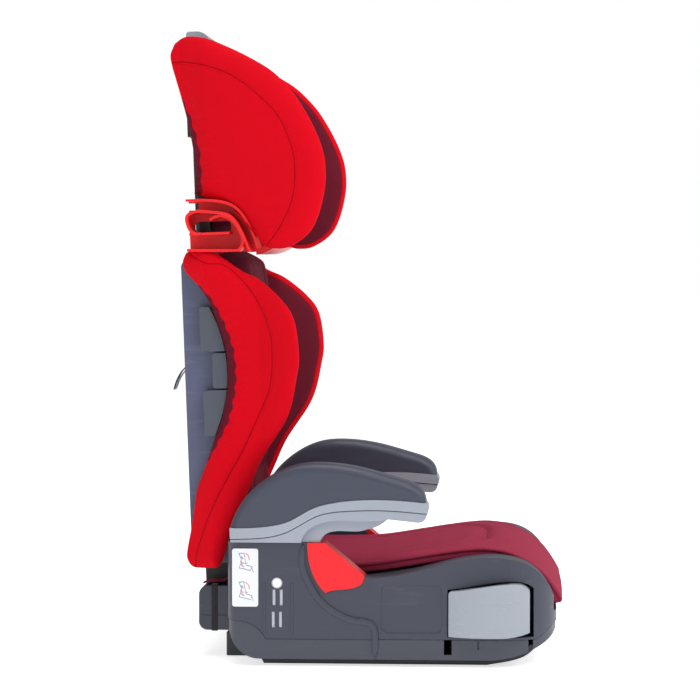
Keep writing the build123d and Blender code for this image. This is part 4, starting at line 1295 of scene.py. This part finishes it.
@dataclass
class Headrest:
    """Covers of the headrest."""

    body: str = "headrest"

    def wing(self) -> PaddedWing:
        """The wing beside the head."""
        return PaddedWing(
            name="head_wing",
            body=self.body,
            rear=(
                (174, 489), (172.5, 500), (173, 528), (175.5, 547), (179.5, 569), (185, 592), (190, 612),
                (193.5, 627), (194, 637), (189, 648),
            ),
            front=(
                (174, 489), (153, 481.5), (129, 472), (116, 458), (107, 442), (99, 431.5), (87, 428), (71, 430),
                (51, 443), (40, 462), (32.5, 489), (31, 510), (34, 531), (43.5, 556), (57.5, 582), (70.5, 599),
                (87, 615), (112, 631), (136, 643.5), (156, 652), (177, 654.5), (189, 648),
            ),
            plan_outer=((184, 130), (158, 146), (118, 160), (78, 171), (32, 182)),
            plan_inner=((32, 158), (76, 144), (112, 128), (140, 119.5), (160, 117.8), (196, 117.8)),
            seam=(
                (192, 628), (176, 627.5), (146, 619), (120.5, 606), (96, 585), (79.5, 566), (68.5, 542), (63.5, 520),
                (64.5, 491), (71.5, 468), (84, 447), (97, 432),
            ),
            folds=(
                Fold((181, 622), (168, 552), 2.2, 3.5), Fold((109, 476), (64, 467), 2.4, 4.0),
                Fold((104, 457), (76, 450), 2.0, 3.5), Fold((172, 605), (164, 545), 1.4, 4.0),
                Fold((112, 492), (66, 484), 1.5, 4.5), Fold((150, 500), (118, 478), 1.2, 5.0),
            ),
            gather_width=8.0,
            gather_from=402.0,
            gather_to=594.0,
            gather_depth=1.0,
            gather_pitch=11.0,
            roll=24.0,
            crown=3.0,
        )

    def build(self, shelf: FinishShelf) -> None:
        """Wings and centre cushion."""
        self.wing().build(shelf)
        CentreCushion(
            name="head_cushion", body=self.body, node="head_pad", half_width=105.5, low=447.0, high=648.0,
            back_y=159.6,
            front=((140, 447), (125, 462), (118, 500), (117, 560), (121, 610), (132, 634), (148, 648)),
            edge_round=18.0, channels_x=(58.0,), channels_z=(540.0,),
        ).build(shelf)


def dress_frame(shelf: FinishShelf) -> None:
    """Give every CAD node that stays its finish."""
    for finish, nodes in CAD_FINISH.items():
        for node in nodes:
            slots = frame["nodes"][node].data.materials
            slots.clear()
            slots.append(shelf.get(finish))
            LOG.info("%s is finished as %s", node, finish)


# ------------------------------------------------------------------ studio


@dataclass
class Studio:
    """Pale floor, near-white surround, soft lights and the camera, in metres."""

    target: tuple = (0.0, 0.033, 0.320)
    distance: float = 3.1
    turn_deg: float = 3.5
    rise_deg: float = 1.99
    lens: float = 145.3

    def camera(self) -> None:
        """Place the camera on the seat's right side, a little ahead of square and a little above it."""
        turn, rise = math.radians(self.turn_deg), math.radians(self.rise_deg)
        away = Vector((-math.cos(rise) * math.cos(turn), -math.cos(rise) * math.sin(turn), math.sin(rise)))
        data = bpy.data.cameras.new("camera")
        data.lens = self.lens
        data.sensor_width = 36
        data.clip_end = 60
        camera = bpy.data.objects.new("camera", data)
        camera.location = Vector(self.target) + away * self.distance
        camera.rotation_euler = (-away).to_track_quat("-Z", "Y").to_euler()
        bpy.context.scene.collection.objects.link(camera)
        bpy.context.scene.camera = camera

    def soft_light(self, name: str, place: tuple, size: float, power: float) -> None:
        """Hang a square soft light that points at the seat."""
        data = bpy.data.lights.new(name, "AREA")
        data.size = size
        data.energy = power
        light = bpy.data.objects.new(name, data)
        light.location = place
        light.rotation_euler = (Vector(self.target) - Vector(place)).to_track_quat("-Z", "Y").to_euler()
        bpy.context.scene.collection.objects.link(light)

    def surround(self) -> None:
        """White to the eye, softer as a light."""
        world = bpy.data.worlds.new("surround")
        world.use_nodes = True
        nodes, links = world.node_tree.nodes, world.node_tree.links
        nodes.clear()
        shades = []
        for strength in (0.44, 1.0):
            shade = nodes.new("ShaderNodeBackground")
            shade.inputs["Color"].default_value = (1.0, 1.0, 1.0, 1.0)
            shade.inputs["Strength"].default_value = strength
            shades.append(shade)
        seen = nodes.new("ShaderNodeLightPath")
        blend = nodes.new("ShaderNodeMixShader")
        end = nodes.new("ShaderNodeOutputWorld")
        links.new(seen.outputs["Is Camera Ray"], blend.inputs[0])
        links.new(shades[0].outputs[0], blend.inputs[1])
        links.new(shades[1].outputs[0], blend.inputs[2])
        links.new(blend.outputs[0], end.inputs["Surface"])
        bpy.context.scene.world = world

    def floor(self) -> None:
        """Pale floor, large enough that its edge is never seen."""
        reach = 25.0
        grid = np.linspace(-reach, reach, 2)
        x, y = np.meshgrid(grid, grid, indexing="ij")
        patch = Patch(np.stack([x, y, 0 * x - 0.0005], axis=-1), np.stack([x, y], axis=-1), turned=True)
        floor = make_piece("studio_floor", [patch])
        shader = Shader("studio_floor")
        speck = shader.noise(shader.place(), 40, 2)
        colour = shader.mix(speck, (0.90, 0.90, 0.90), (0.93, 0.93, 0.93))
        floor.data.materials.append(
            shader.close(Base_Color=colour, Roughness=0.9, Emission_Color=(1.0, 1.0, 1.0), Emission_Strength=0.64)
        )

    def build(self) -> None:
        """Set up the whole studio."""
        self.camera()
        self.surround()
        self.floor()
        self.soft_light("key", (-2.2, -1.5, 2.6), 1.3, 40)
        self.soft_light("fill", (-2.6, 1.8, 1.2), 1.8, 10)
        self.soft_light("front", (-0.3, -3.0, 1.8), 1.4, 26)
        self.soft_light("top", (-0.3, 0.1, 2.8), 1.4, 30)
        bpy.context.scene.view_settings.view_transform = "Standard"


def main() -> None:
    """Build the pieces in order, then the studio."""
    logging.basicConfig(level=logging.INFO, format="%(name)s: %(message)s")
    shelf = FinishShelf()
    dress_frame(shelf)
    SeatCushion().build(shelf)
    BaseTrim().build(shelf)
    Backrest().build(shelf)
    Headrest().build(shelf)
    Studio().build()


if __name__ == "__main__":
    main()
